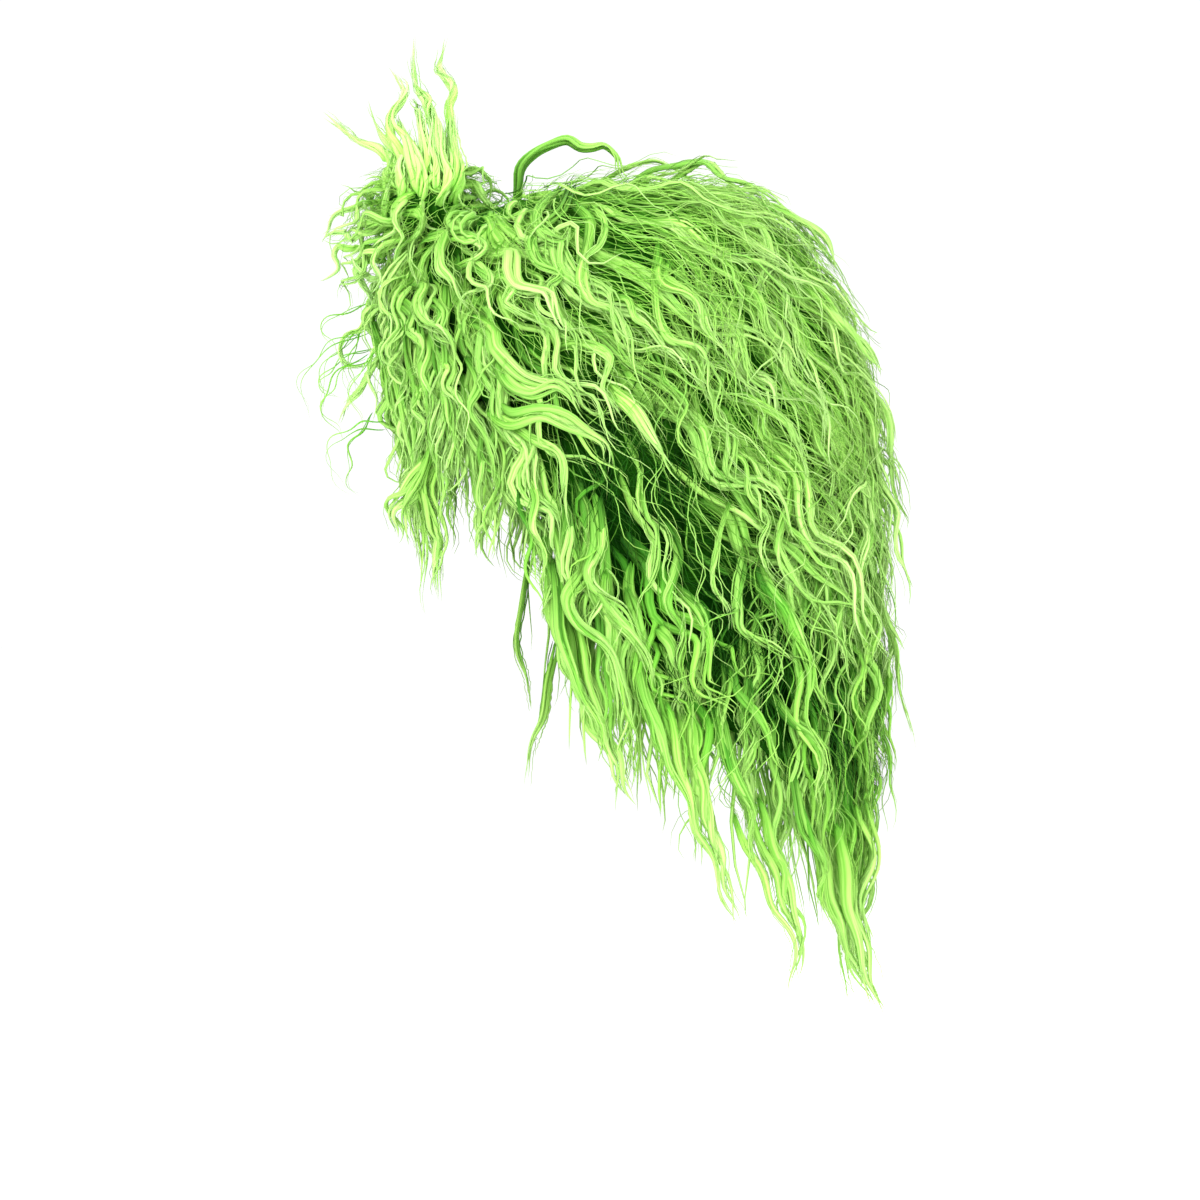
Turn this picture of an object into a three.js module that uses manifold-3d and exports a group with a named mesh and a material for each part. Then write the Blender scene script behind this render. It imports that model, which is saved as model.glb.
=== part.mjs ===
// A curly costume wig: a thin cap that carries long wavy hair in five sections.
// Millimetres, +Z up. The face looks along -Y and the wearer's left is +X.
// The origin is the inside of the cap where the crown of the head touches it.
import * as THREE from "three";
import { ParametricGeometry } from "three/addons/geometries/ParametricGeometry.js";
import { mergeVertices } from "three/addons/utils/BufferGeometryUtils.js";
import Module from "manifold-3d";

const wasm = await Module();
wasm.setup();

// Head and cap
const HEAD_LENGTH = 194;
const HEAD_BREADTH = 152;
const HEAD_RISE = 108; // from the widest level of the head up to its crown
const CAP_WALL = 1.6;
const SEAT_GAP = 0.4; // between the cap and the hair, and between two sections of hair

// Hair, as it stands combed out
const HAIR_LENGTH = 450; // from the top of the crown hair down to the longest tip
const CROWN_DEPTH = 14; // depth of the hair above the crown of the head
const FRONT_DEPTH = 27; // depth of the hair in front of the forehead
const SIDE_DEPTH = 44;
const BACK_DEPTH = 53;
const END_DEPTH = 13; // thickness of the hair where its body ends in loose locks
const RIDGE_DEPTH = 4; // how far the clumps of the body stand out
const FLARE = 1.5; // the power of the curve in which the inside of the hair leaves the head
const PARTING_BACK = 50; // the whorl lies this far in front of the crown
const FRINGE_DROP = 44; // the fringe starts this far below the crown
const LOCK_WIDTH = 25;
const LOCK_DEPTH = 14;
const LOCK_DRIFT = 13; // degrees that a side or back lock turns towards the back on its way down
const CURL_SWING = 6; // how far a lock's waves swing to each side
const CURL_PITCH = 44; // length of one wave

// A lock's form as shares: its width at the root, how fast it swells to its full width, the power of
// its taper to the tip, how fast its waves grow, and how far they lift beside how far they swing.
const LOCK_FORM = { root: 0.3, swell: 2.4, taper: 0.7, grow: 2, lift: 0.5 };
const ROOT_SUNK = -0.55; // a root's place off the hair's surface, as a share of LOCK_DEPTH
const RISE_OFF_BODY = 1.6; // how fast a lock comes up to its stand
// Steps of the waves' phase and shifts of a lock's place and tip, so that no two locks are alike.
const UNLIKE = { lock: 1.7, tier: 2.3, fringe: 2.1, tuft: 2.6, stray: 1.3, place: 0.2, tip: 0.09 };

// Forelock, which stands up over the forehead
const TUFT_RISE = 91; // its highest tip above the crown
const TUFT_OVERHANG = 31; // its foremost curl in front of the rest of the hair
const TUFT_WIDTH = 104;
const TUFT_DEPTH = 72;
const TUFT_BODY_RISE = 66; // from the foot of its woolly body to the top of it
const TUFT_FOOT = 24; // its foot below the crown
const TUFT_SETBACK = 32; // its middle behind the front of the hair
const ROOTS_TOGETHER = 0.55; // how far across its locks start, as a share of how far they end

// Fineness of the surfaces
const COLUMNS = 32; // steps round the head
const CAP_ROWS = 5;
const HEAD_ROWS = 12;
const HANG_ROWS = 3;
const BODY_ROWS = 11;
const TUFT_ROWS = 8;
const LOCK_SIDES = 4;
const FEWEST_STEPS = 5; // along a lock
const MOST_STEPS = 9;
const STEPS_A_WAVE = 3.4;
const SLIVER = 1e-3; // cubic millimetres: flat scraps that a cut leaves are smaller than this
const HALF_TURN = 180;

// Distances from the upright axis through the crown, and heights, that follow from the sizes
const FRONT_REACH = HEAD_LENGTH / 2 + FRONT_DEPTH;
const SIDE_REACH = HEAD_BREADTH / 2 + SIDE_DEPTH;
const BACK_REACH = HEAD_LENGTH / 2 + BACK_DEPTH;
const TUFT_REACH = FRONT_REACH + TUFT_OVERHANG;
const TUFT_FORWARD = FRONT_REACH - TUFT_SETBACK;
const TOP_OF_HAIR = CROWN_DEPTH;
const HEAD_MIDDLE = new THREE.Vector3(0, 0, -HEAD_RISE);

// Turns in degrees round the axis from the front towards the wearer's left, the same on both sides.
// polar: where the cap ends, in degrees from the crown. body: where the body of the hair ends, and
// tips: where the longest locks end, both as shares of HAIR_LENGTH.
const ROUND_THE_HEAD = [
  { azimuth: 0, polar: 60, body: 0.245, tips: 0.43 },
  { azimuth: 30, polar: 63, body: 0.26, tips: 0.47 },
  { azimuth: 52, polar: 73, body: 0.31, tips: 0.46 },
  { azimuth: 70, polar: 91, body: 0.43, tips: 0.58 },
  { azimuth: 90, polar: 98, body: 0.62, tips: 0.77 },
  { azimuth: 112, polar: 104, body: 0.73, tips: 0.88 },
  { azimuth: 135, polar: 112, body: 0.8, tips: 0.96 },
  { azimuth: 158, polar: 119, body: 0.85, tips: 0.99 },
  { azimuth: 180, polar: 122, body: 0.86, tips: 1 },
];

// drop: share of HAIR_LENGTH below the top. The rest are shares of the three reaches at that level.
const BODY_OUTLINE = [
  { drop: 0, front: 0, side: 0, back: 0 },
  { drop: 0.005, front: 0.28, side: 0.28, back: 0.31 },
  { drop: 0.018, front: 0.5, side: 0.52, back: 0.52 },
  { drop: 0.045, front: 0.75, side: 0.72, back: 0.65 },
  { drop: 0.09, front: 0.9, side: 0.86, back: 0.75 },
  { drop: 0.15, front: 0.98, side: 0.95, back: 0.85 },
  { drop: 0.23, front: 0.93, side: 1, back: 0.93 },
  { drop: 0.33, front: 0.86, side: 1.01, back: 0.98 },
  { drop: 0.5, front: 0.84, side: 1, back: 1 },
  { drop: 0.68, front: 0.84, side: 0.95, back: 0.97 },
  { drop: 0.85, front: 0.84, side: 0.88, back: 0.94 },
  { drop: 1.1, front: 0.84, side: 0.8, back: 0.95 },
];

// Sections of hair. from and to: turns round the whorl between which a section lies.
const SECTIONS = {
  front: { from: -70, to: 70 },
  side_hair_left: { from: 70, to: 130 },
  back_hair: { from: 130, to: 230 },
  side_hair_right: { from: 230, to: 290 },
};

// Tiers of locks on the sides and back. root and tip: shares of the way from the top (0) past the
// body's end (1) to the longest tips (2). size: as a share of LOCK_WIDTH. stand: how far the tip
// stands off the body, as a share of LOCK_DEPTH. apart: from lock to lock, as a share of LOCK_WIDTH.
const LOCK_TIERS = [
  { root: 0.2, tip: 0.48, size: 0.9, stand: 0.5, apart: 2.3 },
  { root: 0.37, tip: 0.67, size: 1, stand: 0.7, apart: 2.2 },
  { root: 0.55, tip: 0.87, size: 1.1, stand: 0.8, apart: 2.2 },
  { root: 0.72, tip: 1.25, size: 1.15, stand: 0.7, apart: 2.1 },
  { root: 0.88, tip: 1.7, size: 1.15, stand: 0.3, apart: 2 },
  { root: 0.95, tip: 2, size: 1.1, stand: -0.3, apart: 2.6 },
];

// Locks of the fringe. turn: round the axis. tip: share of HAIR_LENGTH. size, stand: as above.
const FRINGE_LOCKS = [
  { turn: -56, tip: 0.46, size: 0.9, stand: 0.3 },
  { turn: -41, tip: 0.4, size: 0.8, stand: 0.5 },
  { turn: -28, tip: 0.45, size: 0.9, stand: 0.3 },
  { turn: -14, tip: 0.36, size: 0.8, stand: 1 },
  { turn: -1, tip: 0.43, size: 0.8, stand: 0.2 },
  { turn: 12, tip: 0.39, size: 0.8, stand: 1.1 },
  { turn: 26, tip: 0.46, size: 0.9, stand: 0.5 },
  { turn: 39, tip: 0.505, size: 0.9, stand: -0.2 },
  { turn: 54, tip: 0.44, size: 0.9, stand: 0.2 },
];

// Spikes and curls of the forelock. Tips lie at shares of TUFT_WIDTH across, TUFT_REACH forward and
// TUFT_RISE up. foot: the same for the height that a lock leaves the woolly body at.
const TUFT_LOCKS = [
  { across: 0.02, forward: 0.65, rise: 1, foot: 0, size: 1.35 },
  { across: 0.17, forward: 0.54, rise: 0.97, foot: 0, size: 1 },
  { across: -0.14, forward: 0.74, rise: 0.86, foot: 0, size: 1 },
  { across: -0.06, forward: 0.97, rise: 0.54, foot: 0.02, size: 0.75 },
  { across: 0.42, forward: 0.56, rise: 0.6, foot: 0, size: 1 },
  { across: -0.42, forward: 0.6, rise: 0.62, foot: 0, size: 1 },
  { across: 0.28, forward: 0.96, rise: 0.08, foot: -0.08, size: 0.75 },
  { across: -0.26, forward: 0.96, rise: -0.1, foot: -0.12, size: 0.75 },
  { across: 0.58, forward: 0.86, rise: -0.25, foot: -0.16, size: 0.75 },
  { across: -0.58, forward: 0.84, rise: -0.2, foot: -0.14, size: 0.75 },
  { across: 0.02, forward: 1, rise: -0.4, foot: -0.25, size: 0.7 },
];

// Long locks that leave the mass on their own. Places are shares of SIDE_REACH across, BACK_REACH
// back and HAIR_LENGTH down, from the root through the middle to the tip.
const STRAY_LOCKS = [
  {
    section: "back_hair", size: 0.45, waves: 2,
    root: { across: 0, back: -0.25, drop: 0.035 },
    middle: { across: 0.02, back: 0.05, drop: -0.045 },
    tip: { across: 0.06, back: 0.7, drop: 0.02 },
  },
  {
    section: "back_hair", size: 0.5, waves: 2,
    root: { across: 0.12, back: 0.9, drop: 0.5 },
    middle: { across: 0.12, back: 1.05, drop: 0.53 },
    tip: { across: 0.14, back: 1.13, drop: 0.695 },
  },
  {
    section: "back_hair", size: 0.6, waves: 1,
    root: { across: -0.2, back: 0.74, drop: 0.15 },
    middle: { across: -0.22, back: 0.94, drop: 0.2 },
    tip: { across: -0.24, back: 1.03, drop: 0.29 },
  },
  {
    section: "side_hair_right", size: 0.7, waves: 3,
    root: { across: -0.93, back: -0.15, drop: 0.42 },
    middle: { across: -0.97, back: -0.24, drop: 0.56 },
    tip: { across: -0.86, back: -0.24, drop: 0.73 },
  },
];

const radians = (degrees) => (degrees * Math.PI) / HALF_TURN;
const mix = THREE.MathUtils.lerp;

// A value of a table at a key, on a smooth curve through the rows.
function read(table, key, at, column) {
  const last = table.length - 1;
  const row = Math.max(0, table.findLastIndex((r) => r[key] <= at));
  if (row >= last) return table[last][column];
  const [before, from, to, after] = [row - 1, row, row + 1, row + 2].map(
    (i) => table[THREE.MathUtils.clamp(i, 0, last)],
  );
  const along = (at - from[key]) / (to[key] - from[key]);
  const span = to[key] - from[key];
  const slope = (a, b) => (b[key] > a[key] ? ((b[column] - a[column]) * span) / (b[key] - a[key]) : 0);
  const [m0, m1] = [slope(before, to), slope(from, after)];
  const [t2, t3] = [along ** 2, along ** 3];
  return (
    (2 * t3 - 3 * t2 + 1) * from[column] + (t3 - 2 * t2 + along) * m0 +
    (3 * t2 - 2 * t3) * to[column] + (t3 - t2) * m1
  );
}

// The same turn, in degrees, on the wearer's left half.
const fromFront = (turn) => Math.acos(Math.cos(radians(turn))) * (HALF_TURN / Math.PI);
const roundTheHead = (turn, column) => read(ROUND_THE_HEAD, "azimuth", fromFront(turn), column);

// A point of the head's ellipsoid, moved out by a clearance.
function onHead(turn, polar, out) {
  const level = Math.sin(radians(polar));
  return new THREE.Vector3(
    (HEAD_BREADTH / 2 + out) * level * Math.sin(radians(turn)),
    -(HEAD_LENGTH / 2 + out) * level * Math.cos(radians(turn)),
    (HEAD_RISE + out) * Math.cos(radians(polar)) - HEAD_RISE,
  );
}

// A point of the hair's smooth outside at a height. stand moves it outwards.
function onHair(turn, z, stand = 0) {
  const drop = (TOP_OF_HAIR - z) / HAIR_LENGTH;
  const forward = Math.cos(radians(turn));
  const end = forward > 0 ? FRONT_REACH * read(BODY_OUTLINE, "drop", drop, "front")
    : BACK_REACH * read(BODY_OUTLINE, "drop", drop, "back");
  const side = SIDE_REACH * read(BODY_OUTLINE, "drop", drop, "side");
  return new THREE.Vector3((side + stand) * Math.sin(radians(turn)), -(end + stand) * forward, z);
}

// A closed surface from rings of points: ring(row, turn) for rows 0 to rows, whose ends are single points.
function closedSurface(rows, ring, columns = COLUMNS) {
  const place = (u, v, target) => target.copy(ring(Math.round(v * rows), u * 2 * HALF_TURN));
  return solid(new ParametricGeometry(place, columns, rows));
}

// A three.js geometry as a solid that can be joined and cut.
function solid(geometry) {
  const bare = new THREE.BufferGeometry()
    .setAttribute("position", geometry.getAttribute("position"))
    .setIndex(geometry.index);
  const merged = mergeVertices(bare, 1e-3);
  const corners = merged.index.array;
  const kept = [];
  for (let i = 0; i < corners.length; i += 3) {
    const [a, b, c] = corners.subarray(i, i + 3);
    if (a !== b && b !== c && c !== a) kept.push(a, b, c);
  }
  const made = (triangles) => new wasm.Manifold(new wasm.Mesh({
    numProp: 3,
    vertProperties: merged.getAttribute("position").array,
    triVerts: new Uint32Array(triangles),
  }));
  const first = made(kept);
  return first.volume() > 0 ? first : made(kept.reverse());
}

// The cap: an even wall over the head, from the forehead over the ears to the nape.
function makeCap() {
  const ring = (row, turn) => {
    const outside = row <= CAP_ROWS;
    const share = (outside ? row : 2 * CAP_ROWS + 1 - row) / CAP_ROWS;
    return onHead(turn, share * roundTheHead(turn, "polar"), outside ? CAP_WALL : 0);
  };
  return closedSurface(2 * CAP_ROWS + 1, ring);
}

// The room that the hair leaves free for the cap and the head in it.
function makeHeadRoom() {
  const ring = (row, turn) => onHead(turn, (row / HEAD_ROWS) * HALF_TURN, CAP_WALL + SEAT_GAP);
  return closedSurface(HEAD_ROWS, ring);
}

// Where the body of the hair ends below the top, in millimetres.
const bodyDrop = (turn) => HAIR_LENGTH * roundTheHead(turn, "body");

// The ridges and hollows of the body's clumps, none at the crown. share: of the way down.
function ridge(turn, share) {
  const [narrow, wide] = [{ round: 9, down: 8 }, { round: 3, down: 17 }].map(
    ({ round, down }) => Math.sin(radians(round * turn) + down * share),
  );
  return RIDGE_DEPTH * narrow * wide * Math.sin(Math.PI * share);
}

// The inside of the hair: it seats on the cap, and below the cap's edge hangs outwards to the ends.
function insideOfHair(row, turn) {
  const clear = CAP_WALL + SEAT_GAP;
  if (row <= CAP_ROWS) return onHead(turn, (row / CAP_ROWS) * roundTheHead(turn, "polar"), clear);
  const edge = onHead(turn, roundTheHead(turn, "polar"), clear);
  const share = (row - CAP_ROWS) / HANG_ROWS;
  const end = onHair(turn, TOP_OF_HAIR - bodyDrop(turn), -END_DEPTH);
  const outwards = share ** FLARE;
  return new THREE.Vector3(
    mix(edge.x, end.x, outwards), mix(edge.y, end.y, outwards), mix(edge.z, end.z, share),
  );
}

// The woolly body of all the hair, as one shell round the cap.
function makeBody() {
  const inside = CAP_ROWS + HANG_ROWS;
  const ring = (row, turn) => {
    if (row <= inside) return insideOfHair(row, turn);
    const share = (inside + 1 + BODY_ROWS - row) / BODY_ROWS;
    const z = TOP_OF_HAIR - bodyDrop(turn) * share ** 2;
    return onHair(turn, z, ridge(turn, share));
  };
  return closedSurface(inside + 1 + BODY_ROWS, ring);
}

// The two upright planes that bound a section, as { normal, offset } with the section in front.
function boundsOf({ from, to }) {
  const plane = (turn, sign) => {
    const normal = new THREE.Vector3(Math.cos(radians(turn)), Math.sin(radians(turn)), 0);
    normal.multiplyScalar(sign);
    return { normal, offset: -normal.y * PARTING_BACK + SEAT_GAP / 2 };
  };
  return [plane(from, 1), plane(to, -1)];
}

// The level plane that parts the forelock from the fringe.
const level = (sign) => ({
  normal: new THREE.Vector3(0, 0, sign),
  offset: -sign * FRINGE_DROP + SEAT_GAP / 2,
});

const cutTo = (piece, planes) =>
  planes.reduce((rest, { normal, offset }) => rest.trimByPlane(normal.toArray(), offset), piece);

// A wavy lock along a path, flat against the hair, widest a third of the way and pointed at its tip.
// It stays inside the planes.
function makeLock(path, size, waves, planes, seed) {
  const steps = THREE.MathUtils.clamp(Math.round(STEPS_A_WAVE * waves), FEWEST_STEPS, MOST_STEPS);
  const [width, depth] = [size * LOCK_WIDTH, size * LOCK_DEPTH];
  const frame = (share) => {
    const [before, after] = [share - 0.5 / steps, share + 0.5 / steps];
    const along = path(Math.min(1, after)).sub(path(Math.max(0, before))).normalize();
    const out = path(share).sub(HEAD_MIDDLE);
    out.addScaledVector(along, -out.dot(along)).normalize();
    return { out, across: along.cross(out) };
  };
  const ring = (row, turn) => {
    const share = row / steps;
    const { out, across } = frame(share);
    const point = path(share);
    const swing = CURL_SWING * Math.min(1, LOCK_FORM.grow * share);
    const phase = 2 * Math.PI * waves * share + seed;
    point.addScaledVector(across, swing * Math.sin(phase));
    point.addScaledVector(out, LOCK_FORM.lift * swing * Math.cos(phase));
    const full = Math.min(1, LOCK_FORM.root + LOCK_FORM.swell * share) * (1 - share) ** LOCK_FORM.taper;
    for (const { normal, offset } of planes) {
      const short = offset + (width / 2) * full - normal.dot(point);
      if (short > 0) point.addScaledVector(normal, short);
    }
    const thick = row === 0 ? 0 : full;
    point.addScaledVector(across, (width / 2) * thick * Math.cos(radians(turn)));
    return point.addScaledVector(out, (depth / 2) * thick * Math.sin(radians(turn)));
  };
  return closedSurface(steps, ring, LOCK_SIDES);
}

// A height on the way from the top (0) past the body's end (1) to the longest tips (2).
function heightAt(turn, way) {
  const past = HAIR_LENGTH * roundTheHead(turn, "tips") - bodyDrop(turn);
  return TOP_OF_HAIR - (way <= 1 ? bodyDrop(turn) * way ** 2 : bodyDrop(turn) + past * (way - 1));
}

// The turn round the head's axis at which an upright plane through the whorl meets the hair.
function turnOnHead(aim, z) {
  const roundWhorl = (turn) => {
    const { x, y } = onHair(turn, z);
    return (Math.atan2(x, -y - PARTING_BACK) / radians(1) + 2 * HALF_TURN) % (2 * HALF_TURN);
  };
  let [low, high] = aim < HALF_TURN ? [0, HALF_TURN] : [HALF_TURN, 2 * HALF_TURN];
  for (let halving = 0; halving < 16; halving++) {
    const middle = (low + high) / 2;
    if (roundWhorl(middle) < aim) low = middle;
    else high = middle;
  }
  return low;
}

// The locks of a side or back section, tier below tier, each running down and towards the back.
function tierLocks(name, planes) {
  const widest = TOP_OF_HAIR - HAIR_LENGTH / 3;
  const [from, to] = [SECTIONS[name].from, SECTIONS[name].to].map((aim) => turnOnHead(aim, widest));
  const girth = radians(to - from) * (SIDE_REACH + BACK_REACH) / 2;
  return LOCK_TIERS.flatMap(({ root, tip, size, stand, apart }, tier) => {
    const count = Math.round(girth / (apart * LOCK_WIDTH));
    return Array.from({ length: count }, (_, i) => {
      const seed = UNLIKE.lock * i + UNLIKE.tier * tier;
      const at = mix(from, to, (i + 0.5 + UNLIKE.place * Math.sin(3 * seed)) / count);
      const drift = LOCK_DRIFT * Math.sin(radians(at));
      const start = at - drift / 2;
      const end = Math.min(2, tip + UNLIKE.tip * Math.sin(5 * seed));
      const [high, low] = [heightAt(start, root), heightAt(start + drift, end)];
      const path = (share) => {
        const off = LOCK_DEPTH * mix(ROOT_SUNK, stand, Math.min(1, RISE_OFF_BODY * share));
        return onHair(start + drift * share, mix(high, low, share), off);
      };
      return makeLock(path, size, (high - low) / CURL_PITCH, planes, seed);
    });
  });
}

function fringeLocks(planes) {
  return FRINGE_LOCKS.map(({ turn, tip, size, stand }, i) => {
    const high = -FRINGE_DROP - LOCK_WIDTH / 2;
    const low = TOP_OF_HAIR - tip * HAIR_LENGTH;
    const path = (share) => {
      const off = LOCK_DEPTH * mix(ROOT_SUNK, stand, Math.min(1, RISE_OFF_BODY * share));
      return onHair(turn, mix(high, low, share), off);
    };
    return makeLock(path, size, (high - low) / CURL_PITCH, planes, UNLIKE.fringe * i);
  });
}

// The woolly body of the forelock, an upright plume that narrows to its top.
function makeTuftBody() {
  const narrowing = { foot: 1, top: 0.7 };
  const lumps = { share: 0.09, round: 5, up: 4 };
  const ring = (row, turn) => {
    const polar = radians((row / TUFT_ROWS) * HALF_TURN);
    const up = (1 - Math.cos(polar)) / 2;
    const lump = 1 + lumps.share * Math.sin(radians(lumps.round * turn) + lumps.up * up);
    const size = Math.sin(polar) * mix(narrowing.foot, narrowing.top, up) * lump;
    return new THREE.Vector3(
      (TUFT_WIDTH / 2) * size * Math.sin(radians(turn)),
      -TUFT_FORWARD - (TUFT_DEPTH / 2) * size * Math.cos(radians(turn)),
      -TUFT_FOOT + TUFT_BODY_RISE * up,
    );
  };
  return closedSurface(TUFT_ROWS, ring, COLUMNS / 2);
}

function tuftLocks(planes) {
  return TUFT_LOCKS.map(({ across, forward, rise, foot, size }, i) => {
    const start = new THREE.Vector3(ROOTS_TOGETHER * across * TUFT_WIDTH, -TUFT_FORWARD, foot * TUFT_RISE);
    const tip = new THREE.Vector3(across * TUFT_WIDTH, -forward * TUFT_REACH, rise * TUFT_RISE);
    const waves = start.distanceTo(tip) / CURL_PITCH;
    return makeLock((share) => start.clone().lerp(tip, share), size, waves, planes, UNLIKE.tuft * i);
  });
}

function strayLocks(name, planes) {
  const place = ({ across, back, drop }) =>
    new THREE.Vector3(across * SIDE_REACH, back * BACK_REACH, TOP_OF_HAIR - drop * HAIR_LENGTH);
  return STRAY_LOCKS.filter(({ section }) => section === name).map((lock, i) => {
    const route = new THREE.CatmullRomCurve3([lock.root, lock.middle, lock.tip].map(place));
    const path = (share) => route.getPoint(share);
    return makeLock(path, lock.size, lock.waves, planes, UNLIKE.stray * i);
  });
}

// Locks on the body that carries them, clear of the cap.
const headRoom = makeHeadRoom();
function fused(body, locks) {
  const joined = locks.reduce((all, lock) => all.add(lock.subtract(headRoom)), body);
  const pieces = joined.decompose().filter((piece) => piece.volume() > SLIVER);
  return pieces.reduce((all, piece) => all.add(piece));
}

// A solid as a named mesh.
function meshOf(name, made, material) {
  const { numProp, numVert, vertProperties, triVerts } = made.getMesh();
  const places = new Float32Array(numVert * 3);
  for (let i = 0; i < numVert; i++) {
    places.set(vertProperties.subarray(i * numProp, i * numProp + 3), i * 3);
  }
  const geometry = new THREE.BufferGeometry()
    .setAttribute("position", new THREE.BufferAttribute(places, 3))
    .setIndex(new THREE.BufferAttribute(triVerts, 1));
  geometry.computeVertexNormals();
  const mesh = new THREE.Mesh(geometry, material);
  mesh.name = name;
  return mesh;
}

const netting = new THREE.MeshStandardMaterial({ color: 0x2c4a22, roughness: 0.9, metalness: 0 });
const lime = new THREE.MeshStandardMaterial({ color: 0x8fe052, roughness: 0.55, metalness: 0 });
const green = new THREE.MeshStandardMaterial({ color: 0x5cab3a, roughness: 0.65, metalness: 0 });

const wig = new THREE.Group();
const body = makeBody();
wig.add(meshOf("wig_cap", makeCap(), netting));

const tuftPlanes = [...boundsOf(SECTIONS.front), level(1)];
const tuft = cutTo(body.add(makeTuftBody()), tuftPlanes);
wig.add(meshOf("front_tuft", fused(tuft, tuftLocks(tuftPlanes)), lime));

const fringePlanes = [...boundsOf(SECTIONS.front), level(-1)];
wig.add(meshOf("fringe", fused(cutTo(body, fringePlanes), fringeLocks(fringePlanes)), lime));

for (const name of ["side_hair_left", "side_hair_right", "back_hair"]) {
  const planes = boundsOf(SECTIONS[name]);
  const locks = [...tierLocks(name, planes), ...strayLocks(name, planes)];
  wig.add(meshOf(name, fused(cutTo(body, planes), locks), green));
}

export default wig;
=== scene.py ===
"""A curly costume wig: a thin net cap that carries long wavy hair. Metres, +Z up.

The face looks along -Y and the wearer's left is +X. The hair is built in layers: an undercoat shell for
each section, fine fibres that lie on it, and wavy locks over both. Strands follow lines that fan out from
the whorl, which lies a little in front of the crown.
"""

import math

import bpy
import numpy as np
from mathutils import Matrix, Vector


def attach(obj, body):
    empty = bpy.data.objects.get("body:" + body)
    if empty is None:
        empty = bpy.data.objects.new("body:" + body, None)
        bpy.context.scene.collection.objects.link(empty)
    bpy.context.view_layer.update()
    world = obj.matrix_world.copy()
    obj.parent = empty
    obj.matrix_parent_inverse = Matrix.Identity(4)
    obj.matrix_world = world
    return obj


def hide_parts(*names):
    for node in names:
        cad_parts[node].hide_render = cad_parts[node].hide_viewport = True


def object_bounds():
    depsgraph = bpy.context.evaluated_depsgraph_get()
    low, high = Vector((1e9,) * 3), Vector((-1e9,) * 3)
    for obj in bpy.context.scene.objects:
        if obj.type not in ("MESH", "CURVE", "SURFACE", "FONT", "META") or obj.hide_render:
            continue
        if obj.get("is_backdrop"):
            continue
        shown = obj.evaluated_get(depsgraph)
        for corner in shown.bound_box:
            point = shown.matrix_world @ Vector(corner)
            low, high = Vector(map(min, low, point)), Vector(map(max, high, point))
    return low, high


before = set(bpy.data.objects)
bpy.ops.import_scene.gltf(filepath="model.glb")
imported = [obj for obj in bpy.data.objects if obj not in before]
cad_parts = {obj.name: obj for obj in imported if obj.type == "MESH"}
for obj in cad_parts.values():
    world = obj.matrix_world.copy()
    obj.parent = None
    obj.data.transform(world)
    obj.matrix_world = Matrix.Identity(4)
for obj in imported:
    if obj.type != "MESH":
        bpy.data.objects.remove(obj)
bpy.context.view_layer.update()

# Head, cap and hair, as in the frame
HEAD_LENGTH = 0.194
HEAD_BREADTH = 0.152
HEAD_RISE = 0.108
CAP_WALL = 0.0016
SEAT_GAP = 0.0004
HAIR_LENGTH = 0.450
CROWN_DEPTH = 0.014
FRONT_REACH = HEAD_LENGTH / 2 + 0.027
SIDE_REACH = HEAD_BREADTH / 2 + 0.044
BACK_REACH = HEAD_LENGTH / 2 + 0.053
END_DEPTH = 0.013
WHORL_FORWARD = 0.050
FRINGE_DROP = 0.044
TUFT_FORWARD = FRONT_REACH - 0.032
TUFT_WIDTH = 0.104
TUFT_DEPTH = 0.072
TUFT_FOOT = -0.024
TUFT_BODY_RISE = 0.046
TUFT_TAPER = 0.7

# polar: the cap's edge in degrees from the crown. body, tips: where the body of the hair and its
# longest locks end, as shares of HAIR_LENGTH.
ROUND_THE_HEAD = {
    "azimuth": (0, 30, 52, 70, 90, 112, 135, 158, 180),
    "polar": (60, 63, 73, 91, 98, 104, 112, 119, 122),
    "body": (0.245, 0.26, 0.31, 0.43, 0.62, 0.73, 0.8, 0.85, 0.86),
    "tips": (0.47, 0.5, 0.47, 0.54, 0.73, 0.82, 0.91, 0.99, 1.02),
}
# The hair's outline: drop as a share of HAIR_LENGTH, the rest as shares of the three reaches.
BODY_OUTLINE = {
    "drop": (0, 0.005, 0.018, 0.045, 0.09, 0.15, 0.23, 0.33, 0.5, 0.68, 0.85, 1.1),
    "front": (0, 0.28, 0.5, 0.75, 0.9, 0.98, 0.93, 0.86, 0.84, 0.84, 0.84, 0.84),
    "side": (0, 0.28, 0.52, 0.72, 0.86, 0.95, 1, 1.01, 1, 0.95, 0.88, 0.8),
    "back": (0, 0.31, 0.52, 0.65, 0.75, 0.85, 0.93, 0.98, 1, 0.97, 0.94, 0.95),
}
# Turns round the whorl between which each section lies, in degrees from the front.
SECTIONS = {
    "side_hair_left": (70, 130),
    "back_hair": (130, 230),
    "side_hair_right": (230, 290),
    "fringe": (290, 430),
}
SLOTS = {
    "side_hair_left": "green_hair",
    "back_hair": "green_hair",
    "side_hair_right": "green_hair",
    "fringe": "lime_hair",
    "front_tuft": "lime_hair",
}

# The photograph: metres a pixel at the middle of the head, and the pixel of the crown
PHOTO_SCALE = 0.00054
CROWN_PIXEL = (600, 207)
PHOTO_WIDTH = 1200
CAMERA_DISTANCE = 2.6
CAMERA_HEIGHT = (CROWN_PIXEL[1] - PHOTO_WIDTH / 2) * PHOTO_SCALE


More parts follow.
